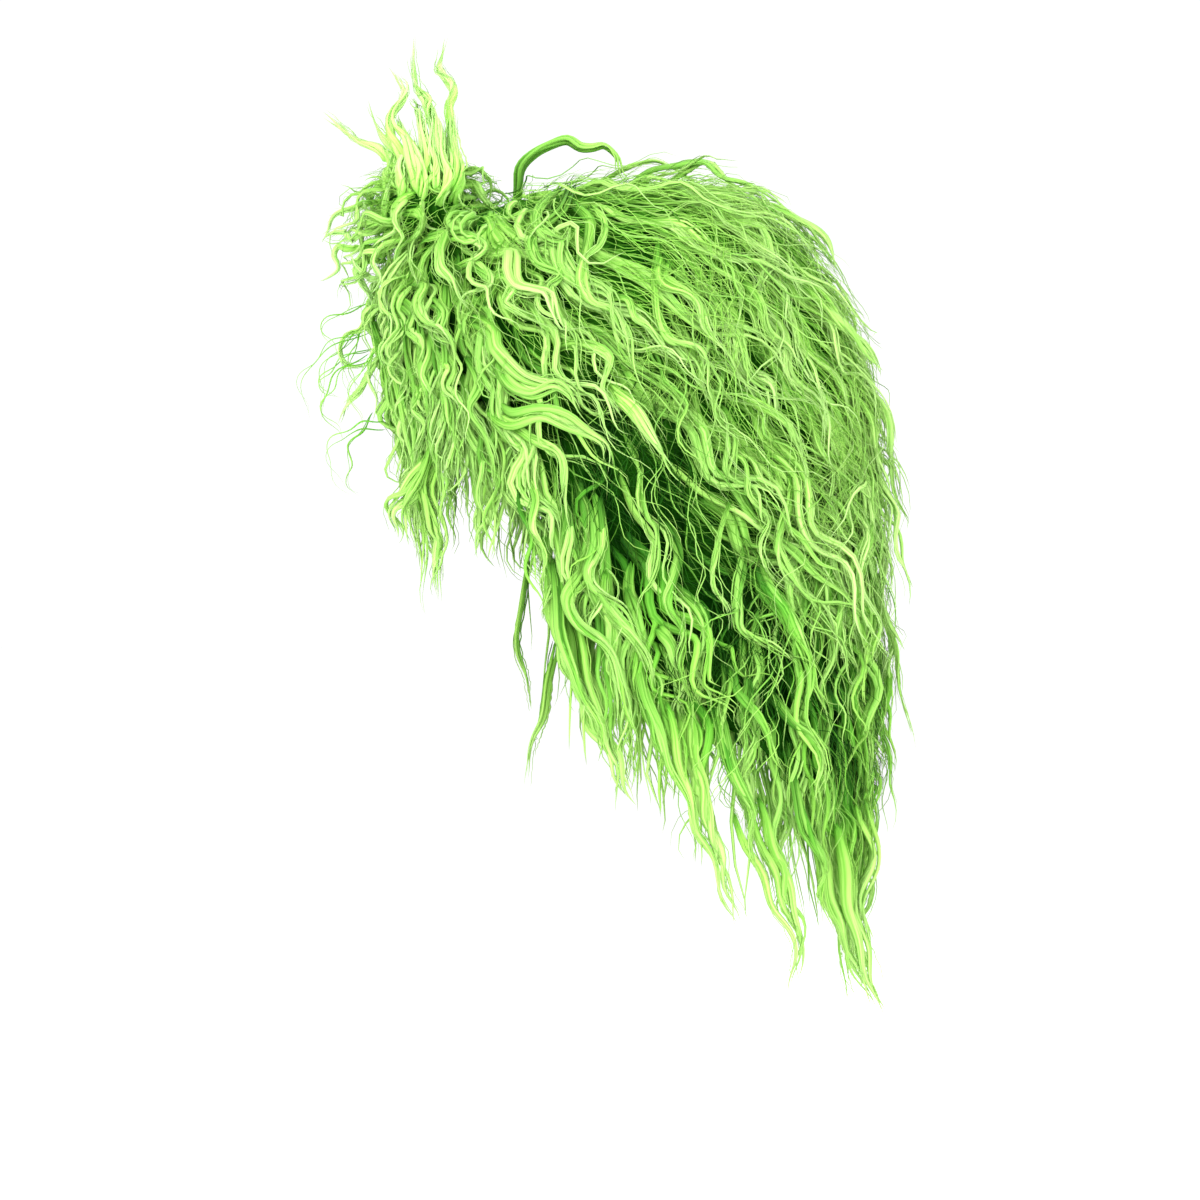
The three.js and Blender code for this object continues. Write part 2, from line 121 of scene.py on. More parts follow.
def smooth(table, key, at, column):
    """A value of a table at a key, on a smooth curve through its rows."""
    keys = np.array(table[key], float)
    values = np.array(table[column], float)
    slopes = np.gradient(values, keys)
    row = np.clip(np.searchsorted(keys, at, side="right") - 1, 0, len(keys) - 2)
    span = keys[row + 1] - keys[row]
    part = np.clip((at - keys[row]) / span, 0, 1)
    square, cube = part**2, part**3
    return (
        (2 * cube - 3 * square + 1) * values[row]
        + (cube - 2 * square + part) * span * slopes[row]
        + (3 * square - 2 * cube) * values[row + 1]
        + (cube - square) * span * slopes[row + 1]
    )


def mix(a, b, share):
    return a + (b - a) * share


def ease(share):
    return share * share * (3 - 2 * share)


def unit(v):
    return v / np.maximum(np.linalg.norm(v, axis=-1, keepdims=True), 1e-9)


def square_to(v, line):
    """Directions v turned so that they are square to a line's directions."""
    return unit(v - line * (v * line).sum(-1, keepdims=True))


def shares_down(steps):
    """Shares of a strand's length from root to tip, as one row."""
    return np.linspace(0, 1, steps)[None]


def turn_of(points):
    """The turn of points round the head, in degrees from the front."""
    return np.degrees(np.arctan2(points[..., 0], -points[..., 1]))


def off_front(aim):
    """Degrees between aims and the front, the same on both sides."""
    return np.abs((aim + 180) % 360 - 180)


def round_the_head(turn, column):
    """turn: degrees from the front, the same on both sides."""
    from_front = np.degrees(np.arccos(np.cos(np.radians(turn))))
    return smooth(ROUND_THE_HEAD, "azimuth", from_front, column)


def reaches(z):
    """How far the hair reaches to the front, to the sides and to the back at a height."""
    drop = (CROWN_DEPTH - z) / HAIR_LENGTH
    front, side, back = (np.maximum(smooth(BODY_OUTLINE, "drop", drop, name), 1e-4)
                         for name in ("front", "side", "back"))
    return front * FRONT_REACH, side * SIDE_REACH, back * BACK_REACH


def on_head(turn, polar, out):
    level = np.sin(np.radians(polar))
    return np.stack([
        (HEAD_BREADTH / 2 + out) * level * np.sin(np.radians(turn)),
        -(HEAD_LENGTH / 2 + out) * level * np.cos(np.radians(turn)),
        (HEAD_RISE + out) * np.cos(np.radians(polar)) - HEAD_RISE,
    ], -1)


# The flow field: the hair's outside as seen from the whorl, by the turn round it and the way down
AIM_STEP = 2.0
AIMS = np.arange(0, 360 + AIM_STEP, AIM_STEP)
WAY_STEP = 0.002
LONGEST_WAY = 0.64
LOWEST_TILT = 165
TILTS = 220
SEARCH_REACH = 0.8
HALVINGS = 32
FLOW_CENTRE = np.array([0, -WHORL_FORWARD, -0.075])
UPWARDS = np.array([0, 0, 1.0])
LEVEL = np.array([1, 1, 0])


def make_flow():
    """For each aim and each length of way from the whorl: the place on the hair, the direction out of it,
    and how far apart the lines of two neighbouring aims lie."""
    aims = np.radians(AIMS)[:, None]
    tilts = np.radians(np.linspace(0, LOWEST_TILT, TILTS))[None, :]
    ray = np.stack([
        np.sin(tilts) * np.sin(aims),
        -np.sin(tilts) * np.cos(aims),
        np.cos(tilts) + 0 * aims,
    ], -1)
    near = np.zeros(ray.shape[:2])
    far = np.full(ray.shape[:2], SEARCH_REACH)
    for _ in range(HALVINGS):
        middle = (near + far) / 2
        x, y, z = np.moveaxis(FLOW_CENTRE + ray * middle[..., None], -1, 0)
        front, side, back = reaches(z)
        outside = (z > CROWN_DEPTH) | ((x / side) ** 2 + (y / np.where(y < 0, front, back)) ** 2 > 1)
        far = np.where(outside, middle, far)
        near = np.where(outside, near, middle)
    places = FLOW_CENTRE + ray * near[..., None]
    beyond = places[:, -1:] + unit(places[:, -1:] - places[:, -4:-3]) * LONGEST_WAY
    ways = np.arange(0, LONGEST_WAY, WAY_STEP)
    lines = []
    for line in np.concatenate([places, beyond], 1):
        walked = np.concatenate([[0], np.cumsum(np.linalg.norm(np.diff(line, axis=0), axis=1))])
        lines.append(np.stack([np.interp(ways, walked, line[:, k]) for k in range(3)], -1))
    places = np.array(lines)
    wrapped = np.concatenate([places[-2:-1], places, places[1:2]])
    across = (wrapped[2:] - wrapped[:-2]) / 2
    out = np.cross(unit(np.gradient(places, axis=1)), across)
    out *= np.sign((out * (places - FLOW_CENTRE)).sum(-1, keepdims=True))
    return places, unit(out + 1e-7 * UPWARDS), np.linalg.norm(across, axis=-1)


PLACES, OUT, SPREAD = make_flow()


def sample(field, aim, way):
    """The field's value at arrays of aims in degrees and ways in metres."""
    a = (np.asarray(aim) % 360) / AIM_STEP
    w = np.clip(np.asarray(way) / WAY_STEP, 0, field.shape[1] - 1.001)
    i = np.minimum(np.floor(a).astype(int), field.shape[0] - 2)
    j = np.floor(w).astype(int)
    p, q = (a - i)[..., None], (w - j)[..., None]
    return (
        field[i, j] * (1 - p) * (1 - q) + field[i + 1, j] * p * (1 - q)
        + field[i, j + 1] * (1 - p) * q + field[i + 1, j + 1] * p * q
    )


def on_flow(aim, way):
    """Places on the hair's outside and the directions out of it."""
    return sample(PLACES, aim, way), unit(sample(OUT, aim, way))


def way_to(column):
    """For each aim, the way from the whorl down to where the body or the tips end."""
    low = CROWN_DEPTH - HAIR_LENGTH * round_the_head(turn_of(PLACES), column)
    below = PLACES[..., 2] < low
    return np.where(below.any(1), below.argmax(1), PLACES.shape[1] - 1) * WAY_STEP


BODY_ENDS = way_to("body")
TIP_ENDS = way_to("tips")


def end_at(ends, aim):
    return np.interp(np.asarray(aim) % 360, AIMS, ends)


# Meshes
UV_MAP = "OFBake"
SIDES_IN_U = 0.02


def mesh_piece(name, points, faces, uv, material):
    """A mesh object from arrays: faces is a list of index arrays, each with its own number of corners."""
    mesh = bpy.data.meshes.new(name)
    corners = np.concatenate([f.ravel() for f in faces]).astype(np.int32)
    sizes = np.concatenate([np.full(len(f), f.shape[1]) for f in faces])
    starts = np.concatenate([[0], np.cumsum(sizes)[:-1]]).astype(np.int32)
    mesh.vertices.add(len(points))
    mesh.vertices.foreach_set("co", np.ascontiguousarray(points, np.float32).ravel())
    mesh.loops.add(len(corners))
    mesh.loops.foreach_set("vertex_index", corners)
    mesh.polygons.add(len(sizes))
    mesh.polygons.foreach_set("loop_start", starts)
    mesh.polygons.foreach_set("use_smooth", np.full(len(sizes), True))
    layer = mesh.uv_layers.new(name=UV_MAP)
    layer.data.foreach_set("uv", np.ascontiguousarray(uv[corners], np.float32).ravel())
    mesh.update(calc_edges=True)
    mesh.validate()
    mesh.materials.append(material)
    made = bpy.data.objects.new(name, mesh)
    bpy.context.scene.collection.objects.link(made)
    return made


def beside_paths(paths, outs):
    """Directions across paths (strand, step, xyz) and away from the hair, square to them."""
    down = unit(np.gradient(paths, axis=1))
    across = unit(np.cross(down, outs))
    return across, np.cross(across, down)


def shifted(paths, across, up, sideways, outwards):
    return paths + across * sideways[..., None] + up * outwards[..., None]


def tubes(paths, outs, widths, tone, sides=3, flat=0.8, twist=None):
    """Closed tapering tubes along paths (strand, step, xyz). widths: (strand, step) across the tube.
    outs: the side that the flat face turns to. tone: one number for each strand, kept as U."""
    count, steps = paths.shape[:2]
    across, up = beside_paths(paths, outs)
    if twist is not None:
        turned = across * np.cos(twist)[..., None] + up * np.sin(twist)[..., None]
        up = up * np.cos(twist)[..., None] - across * np.sin(twist)[..., None]
        across = turned
    inner = slice(1, steps - 1)
    angle = 2 * np.pi * np.arange(sides) / sides
    half = (widths[:, inner] / 2)[..., None, None]
    ring = (
        paths[:, inner, None]
        + half * np.cos(angle)[None, None, :, None] * across[:, inner, None]
        + half * flat * np.sin(angle)[None, None, :, None] * up[:, inner, None]
    )
    points = np.concatenate([paths[:, :1], ring.reshape(count, -1, 3), paths[:, -1:]], 1)
    each = points.shape[1]
    base = (np.arange(count) * each)[:, None, None]
    corner = np.arange(sides)
    after = (corner + 1) % sides
    row = 1 + sides * np.arange(steps - 3)[:, None]
    quads = np.stack([row + corner, row + after, row + after + sides, row + corner + sides], -1)
    first = np.stack([0 * corner, 1 + after, 1 + corner], -1)
    last_ring = 1 + (steps - 3) * sides
    last = np.stack([0 * corner + each - 1, last_ring + corner, last_ring + after], -1)
    round_tube = np.concatenate([[0.5], np.tile(corner / sides, steps - 2), [0.5]])
    uv = np.empty((count, each, 2))
    uv[..., 0] = np.clip(tone[:, None] * (1 - SIDES_IN_U) + SIDES_IN_U * round_tube, 0, 1)
    uv[..., 1] = np.concatenate([[0], np.repeat(np.linspace(0, 1, steps)[inner], sides), [1]])
    return {
        "points": points.reshape(-1, 3),
        "faces": [(quads.reshape(1, -1, 4) + base).reshape(-1, 4)]
        + [(end[None] + base).reshape(-1, 3) for end in (first, last)],
        "uv": uv.reshape(-1, 2),
    }


def closed_grid(outside, inside, u, v, wrapped=False):
    """A closed sheet between two grids of points (column, row). wrapped: its columns go all the way round."""
    columns, rows = outside.shape[:2]
    index = np.arange(columns * rows).reshape(columns, rows)
    other = index + columns * rows
    if wrapped:
        index = np.concatenate([index, index[:1]])
        other = np.concatenate([other, other[:1]])
    a, b, c, d = index[:-1, :-1], index[1:, :-1], index[1:, 1:], index[:-1, 1:]
    e, f, g, h = other[:-1, :-1], other[1:, :-1], other[1:, 1:], other[:-1, 1:]
    quads = [
        np.stack([a, d, c, b], -1).reshape(-1, 4),
        np.stack([e, f, g, h], -1).reshape(-1, 4),
        np.stack([index[:-1, -1], other[:-1, -1], other[1:, -1], index[1:, -1]], -1),
        np.stack([index[:-1, 0], index[1:, 0], other[1:, 0], other[:-1, 0]], -1),
    ]
    if not wrapped:
        quads.append(np.stack([index[0, :-1], other[0, :-1], other[0, 1:], index[0, 1:]], -1))
        quads.append(np.stack([index[-1, :-1], index[-1, 1:], other[-1, 1:], other[-1, :-1]], -1))
    uv = np.stack([u.ravel(), v.ravel()], -1)
    return {
        "points": np.concatenate([outside.reshape(-1, 3), inside.reshape(-1, 3)]),
        "faces": [np.concatenate(quads)],
        "uv": np.concatenate([uv, uv]),
    }


def joined(parts):
    points, uv, faces, offset = [], [], {}, 0
    for part in parts:
        points.append(part["points"])
        uv.append(part["uv"])
        for f in part["faces"]:
            faces.setdefault(f.shape[1], []).append(f + offset)
        offset += len(part["points"])
    return np.concatenate(points), [np.concatenate(f) for f in faces.values()], np.concatenate(uv)


# Materials
MIX_FACTOR, MIX_A, MIX_B, MIX_RESULT = 0, 6, 7, 2
# How often the noise repeats across and along a lock
FINE_STREAKS = (650, 2, 0)
CROSSING_STREAKS = (900, 60, 0)
BLOTS = (46, 5, 0)
NET_CELLS = (260, 120, 1)


class Surface:
    """A material and the nodes round its shader."""

    def __init__(self, name):
        self.material = bpy.data.materials.new(name)
        self.material.use_nodes = True
        self.tree = self.material.node_tree
        self.tree.nodes.clear()
        self.shader = self.add("BsdfPrincipled")
        self.add("OutputMaterial", {"Surface": self.shader.outputs["BSDF"]})

    def fill(self, node, inputs):
        """Sets a node's inputs to numbers, or links them to the outputs of other nodes."""
        for name, value in inputs.items():
            if isinstance(value, bpy.types.NodeSocket):
                self.tree.links.new(value, node.inputs[name])
            else:
                node.inputs[name].default_value = value

    def add(self, kind, inputs={}, **settings):
        node = self.tree.nodes.new("ShaderNode" + kind)
        for name, value in settings.items():
            setattr(node, name, value)
        self.fill(node, inputs)
        return node

    def uv(self):
        return self.add("UVMap", uv_map=UV_MAP).outputs["UV"]

    def ramp(self, factor, stops):
        """A colour that runs smoothly through stops of a position and a colour."""
        node = self.add("ValToRGB", {"Fac": factor})
        band = node.color_ramp
        band.interpolation = "B_SPLINE"
        while len(band.elements) < len(stops):
            band.elements.new(0.5)
        for element, (position, colour) in zip(band.elements, stops):
            element.position = position
            element.color = (*colour, 1)
        return node.outputs["Color"]

    def streaks(self, uv, scale, detail, slant=0.0):
        """Noise drawn out along V. slant: radians that the streaks lean to one side."""
        leaning = self.add("Mapping", {"Vector": uv, "Rotation": (0, 0, slant)})
        drawn_out = self.add("Mapping", {"Vector": leaning.outputs["Vector"], "Scale": scale})
        settings = {"Vector": drawn_out.outputs["Vector"], "Scale": 1.0, "Detail": detail}
        return self.add("TexNoise", settings).outputs["Fac"]

    def mixed(self, blend, factor, a, b):
        inputs = {MIX_FACTOR: factor, MIX_A: a, MIX_B: b}
        return self.add("Mix", inputs, data_type="RGBA", blend_type=blend).outputs[MIX_RESULT]

    def finish(self, colour, roughness, height, bump, depth, invert=False, **others):
        """Sets the shader. height: what the bump follows, bump its strength and depth its metres."""
        inputs = {"Height": height, "Strength": bump, "Distance": depth}
        normal = self.add("Bump", inputs, invert=invert).outputs["Normal"]
        self.fill(self.shader, {"Base Color": colour, "Roughness": roughness, "Normal": normal})
        self.fill(self.shader, {name.replace("_", " "): value for name, value in others.items()})
        return self.material


def hair_material(name, dark, light, streak, roughness=0.62, gloss=0.11, matted=False):
    """Hair that changes colour from root to tip: dark roots are painted shade, pale tips painted light
    shining through. U says how light a lock is, between the two rows of stops, and callers lower U as painted
    shade.
    streak: how dark the painted shade in the gaps between fibres is. matted: a skin of hair, where lightness
    comes in blots."""
    made = Surface(name)
    uv = made.uv()
    split = made.add("SeparateXYZ", {"Vector": uv}).outputs
    if matted:
        blots = {"Value": made.streaks(uv, BLOTS, 2.0), "From Min": 0.4, "From Max": 0.75}
        lightness = made.add("MapRange", blots).outputs["Result"]
        crossing = [made.streaks(uv, CROSSING_STREAKS, 2.0, slant) for slant in (0.5, -0.6)]
        both = made.add("Math", dict(enumerate(crossing)), operation="MULTIPLY")
        fibres = made.add("Math", {0: both.outputs["Value"]}, operation="SQRT").outputs["Value"]
    else:
        lightness = split["X"]
        fibres = made.streaks(uv, FINE_STREAKS, 2.5)
    colour = made.mixed("MIX", lightness, made.ramp(split["Y"], dark), made.ramp(split["Y"], light))
    # Painted shade in the gaps between fibres, tinted green like the shade inside green hair
    painted_gap_shade = (streak * 0.85, min(1, streak * 1.25), streak * 0.65)
    colour = made.mixed("MULTIPLY", 1.0, colour, made.ramp(fibres, [(0.4, painted_gap_shade), (0.54, (1, 1, 1))]))
    return made.finish(colour, roughness, fibres, bump=0.8, depth=0.0006, Specular_IOR_Level=gloss)


# BLACK_GREEN, ROOT and DEEP are painted shade deep in the hair and where roots lie under other locks; PALE
# and PALEST are painted light shining through thin tips. The greens between are the hair's own colour.
BLACK_GREEN = (0.002, 0.022, 0.001)
ROOT = (0.006, 0.055, 0.002)
DEEP = (0.022, 0.15, 0.005)
MOSS = (0.08, 0.34, 0.02)
GRASS = (0.225, 0.57, 0.06)
LIME = (0.41, 0.76, 0.13)
BRIGHT = (0.51, 0.80, 0.21)
PALE = (0.52, 0.77, 0.29)
PALEST = (0.56, 0.76, 0.37)
NET_THREAD = (0.05, 0.16, 0.03)
NET_HOLE = (0.008, 0.035, 0.006)

lock_material = hair_material(
    "lime_locks",
    [(0.0, ROOT), (0.12, DEEP), (0.32, MOSS), (0.6, GRASS), (0.88, LIME), (1.0, BRIGHT)],
    [(0.0, MOSS), (0.06, GRASS), (0.16, LIME), (0.45, BRIGHT), (1.0, PALE)],
    0.48,
)
fibre_material = hair_material(
    "green_fibres",
    [(0.0, BLACK_GREEN), (0.5, ROOT), (1.0, DEEP)],
    [(0.0, MOSS), (0.25, GRASS), (0.6, LIME), (1.0, BRIGHT)],
    0.8,
    gloss=0.08,
)
# The undercoat's greens are painted shade: dark, and darker towards its lower edge
shaded_undercoat_material = hair_material(
    "shaded_matted_hair",
    [(0.0, DEEP), (0.3, ROOT), (1.0, BLACK_GREEN)],
    [(0.0, GRASS), (0.3, MOSS), (0.6, DEEP), (1.0, DEEP)],
    0.3,
    0.9,
    gloss=0.02,
    matted=True,
)
flame_material = hair_material(
    "pale_locks",
    [(0.0, MOSS), (0.1, GRASS), (0.22, LIME), (0.5, BRIGHT), (1.0, PALE)],
    [(0.0, GRASS), (0.06, LIME), (0.2, BRIGHT), (0.5, PALE), (1.0, PALEST)],
    0.8,
)


def net_material():
    made = Surface("net_cap")
    cells = made.add("Mapping", {"Vector": made.uv(), "Scale": NET_CELLS}).outputs["Vector"]
    cell = made.add("TexVoronoi", {"Vector": cells, "Scale": 1.0}, feature="DISTANCE_TO_EDGE")
    inwards = cell.outputs["Distance"]
    colour = made.ramp(inwards, [(0.0, NET_THREAD), (0.25, NET_HOLE)])
    return made.finish(colour, 0.85, inwards, bump=0.6, depth=0.0005, invert=True, Sheen_Weight=0.3)


# The net cap: a thin shell with ridges where the wefts are sewn on and a band along its edge
CAP_COLUMNS = 72
CAP_ROWS = 42
CAP_START = 0.015
WEFTS = 9
WEFT_DEPTH = 0.0007
BAND_SHARE = 0.94


def net_cap():
    turns = np.arange(CAP_COLUMNS) * 360 / CAP_COLUMNS
    turn, share = np.meshgrid(turns, np.linspace(CAP_START, 1, CAP_ROWS), indexing="ij")
    polar = round_the_head(turn, "polar") * share
    ridge = WEFT_DEPTH * np.cos(2 * math.pi * WEFTS * share) ** 8 * (share < BAND_SHARE)
    band = WEFT_DEPTH * (share >= BAND_SHARE)
    outside = on_head(turn, polar, CAP_WALL)
    inside = on_head(turn, polar, -ridge - band)
    return closed_grid(outside, inside, turn / 360, share, wrapped=True)


# The undercoat: matted hair between the cap and the locks. Its dark colour is painted shade, the shade deep
# in the hair that shows between the locks.
INSET = 0.0085
SHELL_ROWS = 42
SHELL_COLUMN = 2.2
SHELL_START = 0.03
SHELL_END = 0.89
SHELL_RAGGED = 0.014
LEAST_DEPTH = 0.007
THIN_EDGE = 0.004
THIN_FROM = 0.7
THIN_OVER = 0.3
SECTION_GAP = 0.0004
FRINGE_GAP = 0.004
GAP_RADIUS = 0.1
CAP_CLEARANCE = 0.0006
FINE_STEPS = 120


def lumps(points, size=0.0022):
    """Smooth lumps at points of space, from crossing waves of about 70 mm and of about 20 mm."""
    x, y, z = np.moveaxis(points, -1, 0)
    coarse = np.sin(95 * x + 40 * z) * np.sin(80 * y - 60 * z) * np.cos(70 * z + 30 * x)
    fine = np.sin(310 * x - 120 * y) * np.sin(280 * z + 150 * y) * np.cos(260 * y + 90 * x)
    return size * (coarse + 0.45 * fine)


def head_ray(direction, out):
    """How far from FLOW_CENTRE a ray leaves the head, grown by out."""
    radii = np.array([HEAD_BREADTH / 2 + out, HEAD_LENGTH / 2 + out, HEAD_RISE + out])
    start = (FLOW_CENTRE - np.array([0, 0, -HEAD_RISE])) / radii
    scaled = direction / radii
    a = (scaled**2).sum(-1)
    b = (scaled * start).sum(-1)
    c = (start**2).sum() - 1
    return (-b + np.sqrt(b * b - a * c)) / a


def along(paths, shares):
    """Points at shares (strand, step) of paths (strand, step, xyz)."""
    count, steps = paths.shape[:2]
    at = np.clip(shares, 0, 1) * (steps - 1)
    low = np.clip(np.floor(at).astype(int), 0, steps - 2)
    part = (at - low)[..., None]
    rows = np.arange(count)[:, None]
    return paths[rows, low] * (1 - part) + paths[rows, low + 1] * part


def inner_points(aims, shares):
    """The inside of the hair for a grid of aims and of shares of the way to the body's end."""
    fine = np.linspace(0, 1, FINE_STEPS)
    grid = np.repeat(aims[:, None], FINE_STEPS, 1)
    points = sample(PLACES, grid, end_at(BODY_ENDS, aims)[:, None] * fine[None])
    direction = unit(points - FLOW_CENTRE)
    clear = CAP_WALL + SEAT_GAP + CAP_CLEARANCE
    hit = FLOW_CENTRE + direction * head_ray(direction, clear)[..., None]
    polar = np.degrees(np.arccos(np.clip((hit[..., 2] + HEAD_RISE) / (HEAD_RISE + clear), -1, 1)))
    past = polar > round_the_head(turn_of(hit), "polar")
    first = np.where(past.any(1), past.argmax(1), FINE_STEPS - 1)
    edge = hit[np.arange(len(aims)), first][:, None]
    edge_share = fine[first][:, None]
    last = (points[:, -1] - direction[:, -1] * END_DEPTH)[:, None]
    share = np.clip((shares - edge_share) / np.maximum(1 - edge_share, 1e-6), 0, 1)[..., None]
    hang = np.concatenate([
        mix(edge[..., :2], last[..., :2], share**1.5),
        mix(edge[..., 2:], last[..., 2:], share),
    ], -1)
    return np.where(share > 0, hang, along(hit, shares))


def undercoat(aim_from, aim_to, share_from, share_to):
    """share_from, share_to: functions of the aim, as shares of the way to the body's end."""
    inset = np.degrees(SECTION_GAP / GAP_RADIUS)
    aims = np.linspace(aim_from + inset, aim_to - inset, int((aim_to - aim_from) / SHELL_COLUMN) + 2)
    shares = mix(share_from(aims)[:, None], share_to(aims)[:, None], shares_down(SHELL_ROWS))
    grid = np.repeat(aims[:, None], SHELL_ROWS, 1)
    surface, normal = on_flow(grid, end_at(BODY_ENDS, aims)[:, None] * shares)
    inside = inner_points(aims, shares)
    thin = THIN_EDGE * np.clip((shares - THIN_FROM) / THIN_OVER, 0, 1)
    outside = surface - normal * (INSET + thin + lumps(surface))[..., None]
    thick = ((outside - inside) * normal).sum(-1)
    outside += normal * np.maximum(LEAST_DEPTH - THIN_EDGE - thick, 0)[..., None]
    return closed_grid(outside, inside, (grid - aim_from) / 360, shares)


def shell_start(aims):
    return np.full(len(aims), SHELL_START)


def ragged_end(aims):
    """The undercoat's lower edge, as shares of the way to the body's end."""
    wide, narrow = np.sin(np.radians(7 * aims)), np.sin(np.radians(31 * aims + 40))
    return SHELL_END + SHELL_RAGGED * (wide + 0.5 * narrow)


def fringe_start(aims):
    """Where the fringe begins, as shares of the way to the body's end."""
    steps = 200
    fine = np.linspace(0, 1, steps)
    points = sample(PLACES, np.repeat(aims[:, None], steps, 1), end_at(BODY_ENDS, aims)[:, None] * fine)
    return fine[(points[..., 2] < -FRINGE_DROP).argmax(1)]


def forelock_end(aims):
    return fringe_start(aims) - FRINGE_GAP


# Locks: they grow from the undercoat, so no root lies beyond its lower edge
ROOTS_END = BODY_ENDS * (SHELL_END - 2 * SHELL_RAGGED)
ROOT_STAND = -0.007
STEPS_A_WAVE = 7.0
STEPS_A_FINE_WAVE = 4.6
STEEPEST_WAVE = 0.2
TRIES_A_ROOT = 12
LOCK_SIDES = 5
LOOSE_WIDTH = (0.0007, 0.0013)
LOOSE_JITTER = 0.0003
rng = np.random.default_rng(41)


def drawn(low, high, count):
    """Random numbers between two limits: a column with one for each strand."""
    return rng.uniform(low, high, (count, 1))


def phases(*count):
    """Random angles in radians."""
    return rng.uniform(0, 6.28, count)


def uneven(count, low, high):
    """Sizes between two limits, more of them small."""
    return mix(low, high, rng.uniform(0, 1, count) ** 1.25)


def wave(points, outs, size, phase, pitch, lift=0.6, finest=STEPS_A_WAVE):
    """Adds waves to paths (strand, step, xyz): size and pitch in metres, one for each strand.
    finest: how many steps the shortest wave takes."""
    steps = points.shape[1]
    walked = np.concatenate([
        np.zeros((len(points), 1)),
        np.cumsum(np.linalg.norm(np.diff(points, axis=1), axis=-1), axis=1),
    ], 1)
    pitch = np.maximum(pitch, finest * walked[:, -1] / (steps - 1))
    size = np.minimum(size, STEEPEST_WAVE * pitch)
    angle = 2 * math.pi * walked / pitch[:, None] + phase[:, None]
    swing = size[:, None] * np.minimum(1, 0.25 + 1.6 * shares_down(steps))
    across, up = beside_paths(points, outs)
    return shifted(points, across, up, swing * np.sin(angle), lift * swing * np.cos(angle))


def scatter(count, least):
    """Roots spread evenly over the hair, as arrays of aim and way. least: metres between two roots."""
    columns, rows = SPREAD.shape
    chance = SPREAD * (np.arange(rows)[None] * WAY_STEP < ROOTS_END[:, None])
    chance[-1] = 0
    picked = rng.choice(columns * rows, size=count * TRIES_A_ROOT, p=(chance / chance.sum()).ravel())
    aim = AIMS[picked // rows] + rng.uniform(0, AIM_STEP, len(picked))
    way = (picked % rows + rng.uniform(0, 1, len(picked))) * WAY_STEP
    places = sample(PLACES, aim, way)
    kept = []
    for i, at in enumerate(places):
        if not kept or (np.linalg.norm(places[kept] - at, axis=1) > least).all():
            kept.append(i)
            if len(kept) == count:
                break
    return aim[kept], way[kept]


def winding(number, among, loose, turns, count, share):
    """Angles in radians of one of several strands that wind round a lock, either way."""
    angle = 2 * math.pi * (number + drawn(0, loose, count)) / among
    return angle + drawn(*turns, count) * share * rng.choice([-1, 1], (count, 1))


def strand_lines(paths, outs, radius, angle):
    """Lines that run round paths at a radius, flattened towards the hair's surface."""
    across, up = beside_paths(paths, outs)
    return shifted(paths, across, up, radius * np.cos(angle), 0.5 * radius * np.sin(angle))


def tufts_of(paths, outs, width, tone, strands=1):
    """Locks as closed tubes: a soft tapering core, and fine strands that come loose from it."""
    count, steps = paths.shape[:2]
    share = shares_down(steps)
    full = np.minimum(1, 0.5 + 3 * share) * np.clip(1 - share**2.2, 0, 1)
    twist = drawn(-0.5, 0.5, count) + drawn(-1.6, 1.6, count) * share
    made = [tubes(paths, outs, width[:, None] * full, tone, LOCK_SIDES, 0.5, twist)]
    for strand in range(strands):
        angle = winding(strand, strands, 1, (0.8, 3.0), count, share)
        radius = width[:, None] * (drawn(0.35, 0.6, count) + 0.9 * share * drawn(0, 1, count))
        own = along(strand_lines(paths, outs, radius, angle), share * (1 - drawn(-0.04, 0.2, count)))
        own = own + rng.normal(0, LOOSE_JITTER, own.shape)
        widths = drawn(*LOOSE_WIDTH, count) * np.clip(1.06 - share, 0, 1) ** 0.5
        shade = np.clip(tone + rng.uniform(-0.1, 0.1, count), 0, 1)
        made.append(tubes(own, outs, widths, shade))
    return made


def bunches(paths, outs, width, tone, members):
    """Broad locks: each is a few tapering members that part towards their tips."""
    count, steps = paths.shape[:2]
    share = shares_down(steps)
    made = []
    for member in range(members):
        angle = winding(member, members, 0.6, (0.3, 2.2), count, share)
        radius = width[:, None] * 0.34 * (0.5 + 0.5 * np.minimum(1, 3 * share)) * (1 - 0.5 * share**2)
        radius = radius + width[:, None] * 0.5 * drawn(0, 1, count) * share**3
        own = along(strand_lines(paths, outs, radius, angle), share * (1 - drawn(0, 0.28, count)))
        own = wave(own, outs, rng.uniform(0, 0.0014, count), phases(count), rng.uniform(0.02, 0.035, count))
        shade = np.clip(tone + rng.uniform(-0.08, 0.08, count), 0, 1)
        made += tufts_of(own, outs, width * rng.uniform(0.42, 0.66, count), shade)
    return made


# Locks below the body's end hang together in clumps. CLUMP_TIPS: how far down each clump reaches, as
# shares of the way to the longest tips, clump by clump from the front to the nape.
CLUMP_STEP = 9.0
CLUMP_TIPS = (
    0.92, 1.0, 0.88, 0.97, 0.9, 1.0, 0.86, 0.94, 0.9, 1.0,
    0.9, 0.97, 0.87, 1.0, 0.88, 0.99, 0.9, 0.97, 0.9, 1.0,
)


def clump_of(aim):
    """How far off the middle of its clump each aim is, and the way at which the clump ends."""
    number = np.round((np.asarray(aim) % 360) / CLUMP_STEP)
    centre = number * CLUMP_STEP + 2.0 * np.sin(5 * number)
    from_front = np.minimum(number, 360 / CLUMP_STEP - number).astype(int)
    reach = np.array(CLUMP_TIPS)[np.clip(from_front, 0, len(CLUMP_TIPS) - 1)]
    return (centre - aim % 360 + 180) % 360 - 180, end_at(TIP_ENDS, centre) * reach


